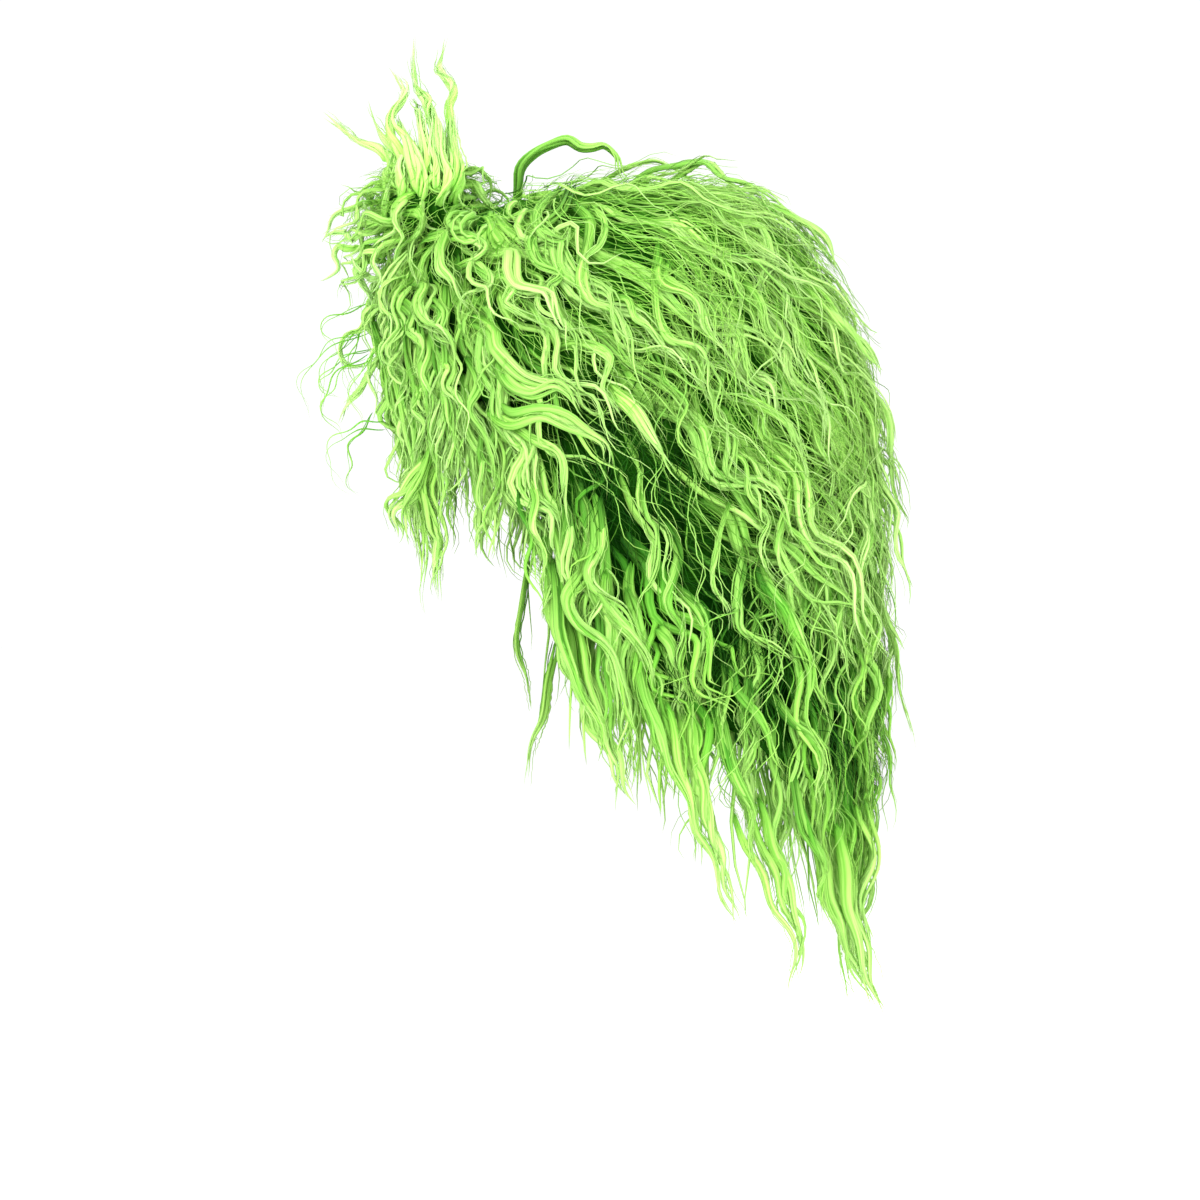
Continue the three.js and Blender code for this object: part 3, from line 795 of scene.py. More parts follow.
# Degrees a metre of way that locks drift to the back: at the whorl, less for each metre, and at least
DRIFT = 360
DRIFT_LOSS = 560
LEAST_DRIFT = 160
# Over how many metres of way the drift fades at the body's end, and the share of it that stays
DRIFT_FADE = 0.16
DRIFT_LEFT = 0.3


def drift(aim, way):
    """Degrees that a line turns towards the back for each metre of way, less near the hair's ends."""
    left = np.clip(DRIFT_LEFT + (end_at(BODY_ENDS, aim) - way) / DRIFT_FADE, DRIFT_LEFT, 1)
    return np.sin(np.radians(aim)) * np.maximum(LEAST_DRIFT, DRIFT - DRIFT_LOSS * way) * left


# How far above the body's end locks start to gather, and the shortest way in which they do
GATHER_ABOVE = 0.06
LEAST_GATHER = 0.04
TIP_SINK = 0.006


def flowing(aim, way, length, root_stand, tip_stand, steps, gather=0.55, wander=1.0):
    """Paths on the hair from roots at aims and ways; they drift back and gather into clumps below."""
    share = shares_down(steps)
    body_way = end_at(BODY_ENDS, aim)
    ways = way[:, None] + length[:, None] * share
    freely = np.clip((body_way - way - length / 2) / 0.1, 0.2, 1)
    sway = wander * freely * (12 * np.sin(0.09 * aim + 31 * way) + rng.normal(0, 6, len(aim)))
    turned = aim[:, None] + (drift(aim, way) + 8 * sway)[:, None] * length[:, None] * share
    gap, tip_way = clump_of(turned[:, -1])
    fall = np.maximum(tip_way - body_way + GATHER_ABOVE, LEAST_GATHER)[:, None]
    near_tip = ease(np.clip((ways - body_way[:, None] + GATHER_ABOVE) / fall, 0, 1))
    turned = turned + gap[:, None] * gather * near_tip
    limit = tip_way * (1 - 0.12 * rng.uniform(0, 1, len(aim)) ** 2)
    ways = ways - np.maximum(0, ways[:, -1] - limit)[:, None] * share
    points, outs = on_flow(turned, ways)
    stand = mix(root_stand, tip_stand[:, None], ease(share))
    stand = stand * (1 - 0.7 * near_tip) - TIP_SINK * near_tip
    return points + outs * stand[..., None], outs


# Hollows between the locks where the dark undercoat shows and where locks and fibres are darkened as painted
# shade: pixels of the photograph
HOLLOWS = {"column": (634, 765, 705, 735), "row": (476, 760, 600, 690), "size": (62, 66, 40, 58)}


def hollow(points):
    """How deep in a hollow points lie, 0 to 1, the same on both sides of the head."""
    column = CROWN_PIXEL[0] + points[..., 1] / PHOTO_SCALE
    row = CROWN_PIXEL[1] - points[..., 2] / PHOTO_SCALE
    depth = 0
    for x, y, size in zip(HOLLOWS["column"], HOLLOWS["row"], HOLLOWS["size"]):
        depth = np.maximum(depth, np.exp(-((column - x) ** 2 + (row - y) ** 2) / (1.2 * size**2)))
    return depth


JAW_LEVEL = -0.17
JAW_TO_SHOULDER = 0.1


def painted_shade_below_jaw(points):
    """How far down the hair points lie, 0 above the jaw to 1 at the shoulders: painted shade that darkens
    locks low down.
    """
    return np.clip((JAW_LEVEL - points[:, 2]) / JAW_TO_SHOULDER, 0, 1)


def region_of(aim, points):
    """The CAD node that each lock belongs to, from its aim and the height of its root."""
    aim = np.asarray(aim) % 360
    turn = np.where(aim < SECTIONS["side_hair_left"][0], aim + 360, aim)
    names = np.full(len(aim), "back_hair", object)
    for name, (low, high) in SECTIONS.items():
        names[(turn >= low) & (turn < high)] = name
    names[(names == "fringe") & (points[:, 2] >= -FRINGE_DROP)] = "front_tuft"
    return names


PIECES = {}


def keep(node, layer, parts):
    PIECES.setdefault((node, layer), []).extend(parts)


def keep_strands(layer, names, make, *arrays):
    """Keeps the tubes that make gives for each section's rows of the arrays. names: the node of each row."""
    for node in SLOTS:
        mask = names == node
        if mask.any():
            keep(node, layer, make(*(array[mask] for array in arrays)))


def single(*strands):
    return [tubes(*strands)]


# Undercoat pieces
for node, (low, high) in SECTIONS.items():
    if node == "fringe":
        keep("front_tuft", "undercoat", [undercoat(low, high, shell_start, forelock_end)])
        keep("fringe", "undercoat", [undercoat(low, high, fringe_start, ragged_end)])
    else:
        keep(node, "undercoat", [undercoat(low, high, shell_start, ragged_end)])

TUFT_COLUMNS = 48
TUFT_ROWS = 26
TUFT_INSET = 0.006
TUFT_CENTRE = np.array([0, -TUFT_FORWARD, TUFT_FOOT + TUFT_BODY_RISE / 2])


def on_tuft(turn, polar, up, out_by, foot, rise):
    """Places on the forelock's body. turn, polar: radians. up: shares of the rise from its foot."""
    size = np.sin(polar) * mix(1.0, TUFT_TAPER, up)
    return np.stack([
        (TUFT_WIDTH / 2 + out_by) * size * np.sin(turn),
        -TUFT_FORWARD - (TUFT_DEPTH / 2 + out_by) * size * np.cos(turn),
        foot + rise * up,
    ], -1)


def tuft_body():
    turns = np.arange(TUFT_COLUMNS) * 360 / TUFT_COLUMNS
    turn, polar = np.meshgrid(turns, np.linspace(3, 177, TUFT_ROWS), indexing="ij")
    up = (1 - np.cos(np.radians(polar))) / 2
    foot, rise = TUFT_FOOT + 0.002, TUFT_BODY_RISE - 0.008
    points = on_tuft(np.radians(turn), np.radians(polar), up, -TUFT_INSET, foot, rise)
    outwards = unit(points - TUFT_CENTRE)
    outside = points + outwards * lumps(points, 0.004)[..., None]
    return closed_grid(outside, points - outwards * TUFT_INSET, turn / 360, 0.35 + 0.2 * up, wrapped=True)


keep("front_tuft", "undercoat", [tuft_body()])

# Fine fibres over the undercoat, with painted light and shade: lighter where they stand off and higher up,
# darker in the hollows
FIBRES = 4800
FIBRE_STEPS = 8
FIBRES_END_ABOVE = 0.035
FIBRE_TIPS = (-0.002, 0.010)
FIBRE_SHADE_LEVEL = -0.24
FIBRE_SHADE_FADE = 0.2


def fibres(paths, outs, names, light):
    count, steps = paths.shape[:2]
    size, pitch = rng.uniform(0.002, 0.006, count), rng.uniform(0.018, 0.04, count)
    paths = wave(paths, outs, size, phases(count), pitch, finest=STEPS_A_FINE_WAVE)
    width = drawn(0.0004, 0.0008, count) * (1.05 - shares_down(steps)) ** 0.4
    tone = np.clip(rng.uniform(-0.3, 0.3, count) + light, 0, 1)
    keep_strands("fibres", names, single, paths, outs, width, tone)


aim, way = scatter(FIBRES, 0.0)
length = rng.uniform(0.035, 0.08, len(aim))
tips = rng.uniform(*FIBRE_TIPS, len(aim))
paths, outs = flowing(aim, way, length, ROOT_STAND, tips, FIBRE_STEPS, gather=0.4, wander=2.4)
lowest = CROWN_DEPTH - HAIR_LENGTH * round_the_head(turn_of(paths[:, -1]), "body")
held = paths[:, -1, 2] >= lowest + FIBRES_END_ABOVE
aim, tips, paths, outs = aim[held], tips[held], paths[held], outs[held]
halfway = paths[:, FIBRE_STEPS // 2]
# Painted light and shade: fibres are lighter higher up and where their tips stand off, darker in the hollows
light = mix(-0.1, 0.85, np.clip((halfway[:, 2] - FIBRE_SHADE_LEVEL) / FIBRE_SHADE_FADE, 0, 1))
light = light + 0.5 * (tips - FIBRE_TIPS[0]) / (FIBRE_TIPS[1] - FIBRE_TIPS[0]) - 1.2 * hollow(halfway)
fibres(paths, outs, region_of(aim, paths[:, 0]), light)

# The inside of the hair, below the cap's edge
INSIDE_FIBRES = 900
INSIDE_STAND = (0.0005, 0.004)
LONGER_IN_FRONT = 0.01
BELOW_CAP = 0.02


def on_the_inside(aim, down, sway, longer=None):
    """Paths on the inside at shares of the way down, and the directions out of the hair there.
    longer: metres, from and to, by which the tips hang down further."""
    count, steps = down.shape
    share = shares_down(steps)
    paths = inner_points(aim, down)
    inwards = unit(FLOW_CENTRE * LEVEL - paths * LEVEL)
    paths = paths + inwards * rng.uniform(*INSIDE_STAND, (count, 1, 1))
    if longer:
        extra = np.where(np.cos(np.radians(aim)) > 0.5, LONGER_IN_FRONT, rng.uniform(*longer, count))
        paths[..., 2] -= extra[:, None] * np.clip(4 * share - 3, 0, 1)
    sideways = np.cross(inwards, UPWARDS)
    paths = paths + sideways * (rng.normal(0, sway, (count, 1)) * share)[..., None]
    root = paths[:, 0]
    edge = np.cos(np.radians(round_the_head(turn_of(root), "polar"))) + BELOW_CAP
    hanging = (root[:, 2] + HEAD_RISE) / HEAD_RISE < edge
    return aim[hanging], paths[hanging], -inwards[hanging]


aim = rng.uniform(0, 360, INSIDE_FIBRES)
start = rng.uniform(0.3, 0.8, INSIDE_FIBRES)[:, None]
down = start + shares_down(FIBRE_STEPS) * drawn(0.12, 0.3, INSIDE_FIBRES)
aim, paths, outs = on_the_inside(aim, np.minimum(down, SHELL_END - BELOW_CAP), 0.008)
# A low lightness paints the shade inside the hair
fibres(paths, outs, region_of(aim, paths[:, 0]), 0.25)


# Wavy locks
LYING_CLOSE = (0.001, 0.010)
STICKING_OUT = (0.010, 0.02)
SHARE_STICKING_OUT = 0.2
FRONT_EDGE = 75
CROWN_EDGE = 80
EDGE_FADE = 30
CROWN_LEVEL = -0.16
CROWN_FADE = 0.08


def stands(count):
    """How far the tips stand off: most lie close, some stick out."""
    close = rng.uniform(*LYING_CLOSE, count)
    sticking_out = rng.uniform(0, 1, count) < SHARE_STICKING_OUT
    return np.where(sticking_out, rng.uniform(*STICKING_OUT, count), close)


def wavy(layer, count, apart, length, width, steps, members, swing, pitch, wander, curl, front_only):
    """A layer of wavy locks. length, width, swing, pitch: from and to, in metres."""
    aim, way = scatter(count, apart)
    if front_only:
        ahead = off_front(aim) < rng.uniform(60, 85, len(aim))
        aim, way = aim[ahead], way[ahead]
    long = rng.uniform(*length, len(aim))
    paths, outs = flowing(aim, way, long, ROOT_STAND, stands(len(aim)), steps, wander=wander)
    walked = np.linalg.norm(np.diff(paths, axis=1), axis=-1).sum(1)
    shown = rng.uniform(0, 1, len(aim)) > 1.2 * hollow(paths[:, steps // 2])
    shown = shown & (walked > 0.6 * long)
    aim, way, paths, outs = aim[shown], way[shown], paths[shown], outs[shown]
    count = len(aim)
    front = np.clip((FRONT_EDGE - off_front(aim)) / EDGE_FADE, 0, 1)
    phase = 3 * np.sin(0.08 * aim) + 90 * way + rng.normal(0, 1.1, count)
    size = uneven(count, *swing) * (1 + 0.6 * front)
    paths = wave(paths, outs, size, phase, rng.uniform(*pitch, count) * (1 - 0.25 * front), lift=curl)
    slow = rng.uniform(0.05, 0.09, count)
    paths = wave(paths, outs, rng.uniform(0, 0.005, count), phases(count), slow, lift=0.2)
    halfway = paths[:, steps // 2]
    # Painted shade: locks are darker in the hollows and low down
    tone = np.clip(rng.uniform(0.35, 1.4, count) - 1.3 * hollow(halfway) - 0.95 * painted_shade_below_jaw(halfway), 0, 1)
    crown = np.clip((halfway[:, 2] - CROWN_LEVEL) / CROWN_FADE, 0, 1)
    crown = crown * np.clip((off_front(aim) - CROWN_EDGE) / EDGE_FADE, 0, 1)
    size = uneven(count, *width) * (1 - 0.4 * crown)
    make = tufts_of if members == 1 else lambda *locks: bunches(*locks, members)
    keep_strands(layer, region_of(aim, paths[:, 0]), make, paths, outs, size, tone)


WAVY_LAYERS = {
    "layer": ("locks", "curls", "curls"),
    "count": (210, 340, 210),
    "apart": (0.022, 0.012, 0.018),
    "length": ((0.10, 0.18), (0.07, 0.13), (0.07, 0.12)),
    "width": ((0.006, 0.014), (0.0022, 0.0055), (0.006, 0.012)),
    "steps": (24, 23, 27),
    "members": (3, 1, 2),
    "swing": ((0.003, 0.0075), (0.002, 0.006), (0.003, 0.008)),
    "pitch": ((0.03, 0.05), (0.026, 0.04), (0.03, 0.042)),
    "wander": (1.2, 1.8, 3.6),
    "curl": (0.5, 0.5, 0.9),
    "front_only": (False, False, True),
}
for row in zip(*WAVY_LAYERS.values()):
    wavy(*row)

# Single long strands over the locks
STRANDS = 380
STRAND_STEPS = 22
aim, way = scatter(STRANDS, 0.0)
count = len(aim)
length = rng.uniform(0.07, 0.15, count)
paths, outs = flowing(aim, way, length, -0.003, rng.uniform(0.002, 0.016, count), STRAND_STEPS, wander=1.8)
size, pitch = rng.uniform(0.002, 0.0055, count), rng.uniform(0.026, 0.05, count)
paths = wave(paths, outs, size, phases(count), pitch)
# Painted shade: strands are darker low down
tone = np.clip(rng.uniform(0.15, 1, count) - 0.6 * painted_shade_below_jaw(paths[:, STRAND_STEPS // 2]), 0, 1)
width = drawn(0.0007, 0.0014, count) * (1.05 - shares_down(STRAND_STEPS)) ** 0.5
keep_strands("strands", region_of(aim, paths[:, 0]), single, paths, outs, width, tone)

# Clumps of loose locks along the lower edge
HEM_LOCKS = 190
HEM_STEPS = 24
HEM_FRONT = 70
HEM_SINK = -0.004
HEM_INSIDE = -0.014
aim = rng.uniform(0, 360, HEM_LOCKS)
gap, tip_way = clump_of(aim)
above = np.where(off_front(aim) < HEM_FRONT, rng.uniform(0, 0.03, HEM_LOCKS), rng.uniform(0, 0.07, HEM_LOCKS))
way = end_at(ROOTS_END, aim) - above
share = shares_down(HEM_STEPS)
reach = tip_way * rng.uniform(0.9, 1.0, HEM_LOCKS) + 0.010
lean = np.sin(np.radians(aim)) * rng.uniform(2, 12, HEM_LOCKS)
turned = aim[:, None] + gap[:, None] * 0.6 * ease(share) + lean[:, None] * (share - 0.6)
points, outs = on_flow(turned, way[:, None] + (reach - way)[:, None] * share)
depth = np.where(rng.uniform(0, 1, HEM_LOCKS) < 0.6, rng.uniform(-0.006, 0.004, HEM_LOCKS), HEM_INSIDE)
points = points + outs * mix(depth[:, None], HEM_SINK, ease(share))[..., None]
size, pitch = uneven(HEM_LOCKS, 0.001, 0.0055), rng.uniform(0.028, 0.046, HEM_LOCKS)
paths = wave(points, outs, size, 9 * gap + rng.normal(0, 0.8, HEM_LOCKS), pitch, lift=0.5)
tone = rng.uniform(0.1, 0.85, HEM_LOCKS)
size = uneven(HEM_LOCKS, 0.004, 0.010)
keep_strands("hem", region_of(aim, paths[:, 0]), lambda *locks: bunches(*locks, 2), paths, outs, size, tone)

# Locks that hang on the inside, from higher up at the back
LINING_LOCKS = 400
LINING_STEPS = 16
aim = rng.uniform(0, 360, LINING_LOCKS)
start = rng.uniform(0.4 - 0.12 * np.cos(np.radians(aim)), 0.84)[:, None]
share = shares_down(LINING_STEPS)
down = np.minimum(start + 1.1 * (1 - start) * share, 1)
aim, paths, outs = on_the_inside(aim, down, 0.012, (0.005, 0.04))
count = len(aim)
pitch, size = rng.uniform(0.05, 0.1, count), rng.uniform(0.001, 0.006, count)
paths = wave(paths, outs, size, phases(count), pitch, 0.3, STEPS_A_FINE_WAVE)
# Low tones paint the shade inside the hair
tone = rng.uniform(0, 0.7, count)
width = drawn(0.002, 0.0065, count) * (np.minimum(1, 0.4 + 2 * share) * np.clip(1 - share**3, 0, 1))
names = region_of(aim, paths[:, 0])
keep_strands("lining", names, lambda *locks: [tubes(*locks, flat=0.6)], paths, outs, width, tone)


def curve(points, steps):
    """A smooth line through points."""
    points = np.array(points, float)
    padded = np.concatenate([2 * points[:1] - points[1:2], points, 2 * points[-1:] - points[-2:-1]])
    at = np.linspace(0, len(points) - 1, steps)
    i = np.minimum(at.astype(int), len(points) - 2)
    t = (at - i)[:, None]
    a, b, c, d = padded[i], padded[i + 1], padded[i + 2], padded[i + 3]
    return 0.5 * (2 * b + (c - a) * t + (2 * a - 5 * b + 4 * c - d) * t**2 + (3 * b - a - 3 * c + d) * t**3)


def in_picture(x, column, row):
    """A place in metres from its distance to the middle plane and its pixel in the photograph."""
    scale = PHOTO_SCALE * (1 - x / CAMERA_DISTANCE)
    return x, (column - CROWN_PIXEL[0]) * scale, CAMERA_HEIGHT - (row - PHOTO_WIDTH / 2) * scale


def traced(line, x_root, x_tip):
    """Places for a line of pixels whose distance to the middle plane changes evenly from root to tip."""
    return [in_picture(mix(x_root, x_tip, i / (len(line) - 1)), *at) for i, at in enumerate(line)]


def half_width(y, middle, half_depth):
    """How far an upright oval of hair reaches sideways at y, as a share of its greatest reach."""
    return math.sqrt(max(0, 1 - ((y - middle) / half_depth) ** 2))


FIRST_GUESS = 0.1
GUESSES = 6
GUESS_STEP = 0.7


def beside(column, row, stand):
    """The place on the hair's left side that shows at a pixel of the photograph."""
    x = FIRST_GUESS
    for _ in range(GUESSES):
        _, y, z = in_picture(x, column, row)
        front, side, back = reaches(z)
        hair = side * half_width(y, 0, front if y < 0 else back)
        up = min(max((z - TUFT_FOOT) / TUFT_BODY_RISE, 0.05), 0.95)
        size = 2 * math.sqrt(up * (1 - up)) * mix(1.0, TUFT_TAPER, up)
        forelock = TUFT_WIDTH / 2 * size * half_width(y, -TUFT_FORWARD, TUFT_DEPTH / 2 * size)
        x = mix(x, max(hair, forelock) + stand, GUESS_STEP)
    return in_picture(x, column, row)


def section_at(place):
    """The CAD node whose hair grows at a place."""
    aim = math.degrees(math.atan2(place[0], FLOW_CENTRE[1] - place[1]))
    return region_of(np.array([aim]), np.array([place]))[0]


SLIGHT_WAVE = (0.0002, 0.0014)
SLIGHTER_WAVE = (0.0002, 0.0012)
LONG_PITCH = (0.03, 0.045)


def guided(
    node, layer, points, members, radius, width, swing=SLIGHT_WAVE, pitch=LONG_PITCH,
    steps=24, strands=1, tip=0.2, cut=0.12, tones=(0.3, 1), late=0.0,
):
    """A bunch of locks that follow one line. radius: the bunch's at its root; tip: the share of it left at
    the tip. width, swing, pitch: from and to, in metres. late, cut: shares of the line that a lock may
    leave out at its root and at its tip."""
    line = curve(points, steps)
    share = shares_down(steps)
    down = unit(np.gradient(line, axis=0))
    out = square_to(unit(line - np.array([0, 0, -HEAD_RISE])), down)
    across = np.cross(down, out)
    angle = phases(members, 1)
    far = radius * np.sqrt(drawn(0, 1, members)) * mix(1, tip, share)
    paths = shifted(line[None], across[None], out[None], far * np.cos(angle), 0.5 * far * np.sin(angle))
    paths = along(paths, mix(drawn(0, 1, members) * late, 1 - drawn(0, cut, members), share))
    outs = np.repeat(out[None], members, 0)
    phase = phases() + rng.normal(0, 0.6, members)
    paths = wave(paths, outs, rng.uniform(*swing, members), phase, rng.uniform(*pitch, members), lift=0.7)
    widths, shades = rng.uniform(*width, members), rng.uniform(*tones, members)
    keep(node, layer, tufts_of(paths, outs, widths, shades, strands))


# The flames of the forelock: x at root and tip in metres, members, radius, then pixels of the photograph
# from root to tip. The roots lie in the forelock's wool.
FLAMES = [
    (0.010, 0.002, 6, 0.006, (418, 222), (399, 203), (388, 186), (392, 164), (380, 151), (360, 144),
     (341, 128), (321, 113)),
    (0.000, -0.010, 2, 0.003, (408, 175), (397, 155), (384, 142), (375, 125), (367, 94)),
    (0.020, 0.006, 6, 0.006, (430, 215), (414, 172), (404, 149), (392, 130), (392, 113), (405, 94),
     (402, 81), (388, 65)),
    (0.014, 0.000, 6, 0.006, (445, 215), (446, 172), (439, 142), (431, 116), (428, 103), (416, 88),
     (413, 62), (415, 34)),
    (0.010, -0.006, 6, 0.006, (460, 210), (457, 168), (452, 138), (449, 108), (454, 95), (446, 81),
     (438, 69), (442, 57), (448, 35)),
    (-0.012, -0.012, 3, 0.005, (430, 200), (420, 165), (422, 132), (417, 108), (407, 95)),
    (0.044, 0.006, 7, 0.009, (428, 222), (422, 190), (416, 160), (405, 136), (396, 112)),
    (0.046, 0.006, 7, 0.009, (444, 220), (442, 188), (438, 158), (434, 124), (428, 98)),
    (0.040, 0.004, 6, 0.008, (416, 214), (406, 192), (400, 172), (406, 150), (410, 128)),
    (0.044, 0.002, 7, 0.008, (456, 212), (456, 186), (453, 160), (451, 130), (448, 106)),
    (0.034, 0.006, 6, 0.009, (434, 206), (430, 178), (426, 152), (423, 126), (420, 104)),
    (0.038, 0.004, 6, 0.009, (450, 206), (449, 178), (444, 150), (441, 124)),
    (0.014, 0.006, 5, 0.007, (392, 220), (386, 200), (392, 178), (400, 154)),
    (-0.014, -0.006, 5, 0.007, (392, 220), (386, 200), (392, 178), (400, 154)),
    (-0.040, -0.012, 5, 0.009, (424, 214), (420, 186), (415, 160), (412, 134)),
    (-0.042, -0.014, 5, 0.009, (446, 212), (446, 184), (440, 158), (438, 130)),
    (-0.030, -0.006, 5, 0.008, (410, 214), (402, 192), (398, 172), (402, 150)),
]
ROOT_IN_WOOL = 0.45
for x_root, x_tip, members, radius, *line in FLAMES:
    places = traced(line, x_root, x_tip)
    places[0] = in_picture(x_root * ROOT_IN_WOOL, *line[0])
    guided(
        "front_tuft", "flames", places, members, radius, width=(0.003, 0.0056), swing=(0.0002, 0.0016),
        steps=26, tip=0.14, tones=(0.2, 1), late=0.14,
    )

# Round curls in front of the forelock and over the forehead: x, members, then pixels
CURLS = [
    (0.012, 3, (402, 214), (386, 221), (373, 228), (361, 235), (351, 239), (343, 232), (329, 233),
     (320, 242)),
    (-0.008, 3, (396, 208), (380, 203), (365, 203), (351, 209), (335, 217), (328, 231), (320, 244)),
    (0.002, 4, (402, 226), (383, 224), (368, 213), (362, 196)),
    (-0.016, 1, (372, 243), (350, 248), (338, 246), (332, 256), (337, 269), (326, 279), (311, 281)),
    (0.014, 4, (424, 248), (405, 258), (403, 273), (389, 281), (369, 277), (356, 266), (350, 250)),
    (0.006, 4, (388, 258), (366, 260), (357, 270), (362, 283), (371, 300), (366, 328)),
    (-0.004, 3, (380, 286), (370, 300), (366, 318), (360, 331), (347, 335), (340, 349), (345, 363),
     (358, 367), (377, 358), (394, 350)),
    (-0.012, 4, (404, 342), (383, 355), (368, 375), (358, 392), (348, 405), (337, 429)),
    (0.018, 2, (406, 328), (386, 338), (371, 352), (367, 376), (376, 398), (371, 424)),
    (0.024, 3, (408, 286), (392, 300), (386, 318), (397, 332), (390, 350), (380, 362)),
    (-0.022, 3, (410, 262), (384, 272), (372, 290), (378, 312), (362, 326)),
    (-0.030, 4, (410, 215), (388, 206), (366, 218), (352, 214)),
    (0.030, 3, (412, 300), (396, 312), (398, 334), (382, 346), (384, 370)),
    (-0.030, 3, (412, 286), (394, 296), (382, 312), (390, 330), (378, 344)),
    (0.034, 3, (408, 240), (386, 246), (374, 262), (382, 280), (372, 296)),
]
for x, members, *line in CURLS:
    guided(
        "front_tuft", "flames", traced(line, x, x), members, radius=0.0036, width=(0.0034, 0.006),
        swing=SLIGHTER_WAVE, pitch=(0.022, 0.034), steps=32, tip=0.3,
    )

# Locks that stand out on the visible side: width in metres, then pixels from root to tip
SEEN_LOCKS = [
    (0.007, (403, 212), (419, 214), (421, 226), (410, 241), (410, 258), (417, 278), (412, 296)),
    (0.010, (425, 238), (446, 234), (440, 250), (441, 268), (454, 280), (461, 300), (478, 322)),
    (0.008, (448, 236), (472, 236), (483, 246), (472, 258), (462, 262)),
    (0.008, (455, 270), (472, 264), (487, 271), (489, 282), (477, 289), (462, 296), (458, 318)),
    (0.009, (486, 308), (496, 281), (505, 276), (511, 286), (503, 303), (522, 314), (553, 328), (571, 350)),
    (0.008, (412, 284), (424, 287), (418, 303), (428, 321), (448, 334), (458, 358), (452, 384)),
    (0.010, (470, 318), (492, 330), (496, 350), (521, 374), (556, 386), (577, 406), (583, 428)),
    (0.007, (571, 184), (560, 210), (531, 236), (536, 262), (559, 274), (547, 287), (559, 314),
     (575, 338), (579, 365), (595, 401)),
    (0.006, (560, 188), (541, 206), (539, 226), (561, 240), (569, 226), (556, 214)),
    (0.008, (575, 203), (594, 226), (583, 270), (591, 298), (614, 310), (627, 332), (634, 362),
     (646, 394), (658, 428)),
    (0.005, (590, 206), (606, 222), (600, 246), (586, 262), (594, 286), (607, 306)),
    (0.004, (604, 298), (627, 297), (635, 318), (651, 327), (664, 345), (668, 372)),
    (0.006, (658, 236), (654, 290), (658, 318), (671, 342), (697, 347), (708, 361), (705, 389),
     (721, 413), (737, 444)),
    (0.008, (666, 256), (664, 278), (686, 290), (701, 306), (709, 331), (729, 357), (745, 381)),
    (0.005, (690, 240), (713, 266), (738, 283), (741, 306), (736, 338), (748, 362)),
    (0.006, (742, 280), (761, 302), (771, 330), (792, 350), (803, 376)),
    (0.011, (495, 346), (501, 366), (513, 383), (532, 393), (555, 385), (571, 393), (579, 413), (592, 436)),
    (0.014, (490, 404), (513, 421), (546, 412), (579, 430), (606, 446), (606, 478)),
    (0.009, (551, 349), (579, 345), (607, 357), (600, 389), (616, 410), (640, 440)),
    (0.010, (602, 380), (630, 405), (654, 436), (668, 462), (690, 492)),
    (0.006, (737, 393), (772, 412), (792, 432), (806, 470), (800, 502)),
    (0.006, (510, 424), (531, 438), (558, 452), (563, 484), (567, 519), (569, 548)),
    (0.009, (590, 494), (598, 520), (598, 545), (589, 568), (595, 587), (625, 609), (640, 640), (654, 682)),
    (0.004, (690, 438), (724, 450), (744, 463), (750, 497), (768, 520), (760, 546), (768, 573),
     (795, 596), (815, 612)),
    (0.005, (642, 486), (648, 515), (658, 533), (652, 578), (640, 604), (634, 636)),
    (0.006, (660, 520), (679, 552), (670, 582), (668, 605), (683, 631), (679, 663), (690, 707), (693, 752)),
    (0.006, (668, 580), (697, 608), (706, 640), (697, 672), (711, 698), (705, 722)),
    (0.005, (732, 500), (723, 533), (714, 578), (728, 606), (733, 632)),
    (0.006, (744, 548), (741, 574), (737, 618), (751, 636), (786, 654), (806, 676)),
    (0.013, (752, 566), (766, 592), (787, 620), (804, 654), (821, 698), (838, 724)),
    (0.007, (792, 470), (786, 510), (777, 546), (795, 582), (823, 609), (838, 645), (850, 676)),
    (0.010, (590, 548), (585, 573), (568, 596), (577, 620), (606, 645), (621, 681), (630, 717),
     (638, 745), (634, 784)),
    (0.011, (595, 560), (597, 588), (617, 618), (647, 654), (656, 698), (669, 742)),
    (0.007, (554, 556), (561, 640), (577, 682), (598, 725), (601, 758)),
    (0.006, (728, 660), (740, 694), (768, 732), (777, 762), (794, 786)),
    (0.007, (770, 690), (792, 720), (810, 732), (822, 756), (816, 790), (830, 822)),
    (0.008, (628, 636), (650, 712), (668, 760), (684, 800), (700, 846)),
    (0.007, (712, 696), (733, 774), (752, 812), (748, 850), (764, 890)),
    (0.007, (786, 740), (805, 826), (824, 866), (820, 900), (836, 936)),
    (0.008, (398, 300), (414, 312), (408, 330), (424, 344), (418, 366), (404, 378)),
    (0.007, (404, 380), (420, 392), (412, 410), (426, 424), (418, 446), (406, 458)),
    (0.008, (440, 352), (454, 368), (446, 388), (462, 404), (456, 428), (466, 446)),
    (0.006, (430, 300), (444, 312), (438, 332), (452, 346), (448, 366)),
    (0.007, (388, 326), (398, 342), (392, 360), (406, 374), (400, 396), (392, 410)),
    (0.007, (424, 330), (430, 352), (422, 376), (434, 400), (430, 428), (441, 456)),
    (0.008, (466, 356), (478, 382), (470, 408), (484, 434), (496, 470), (492, 498)),
    (0.007, (520, 470), (534, 498), (530, 528), (544, 556), (541, 590), (552, 622)),
    (0.005, (810, 400), (818, 440), (834, 470), (830, 506), (846, 540)),
    (0.006, (826, 560), (842, 596), (838, 630), (856, 668), (862, 706)),
]
FAR_SIDE = np.array([-1, 1, 1])
FAR_CHANGE = 0.003
SHADED_BELOW_ROW = 520
NARROW_LOCK = 0.006
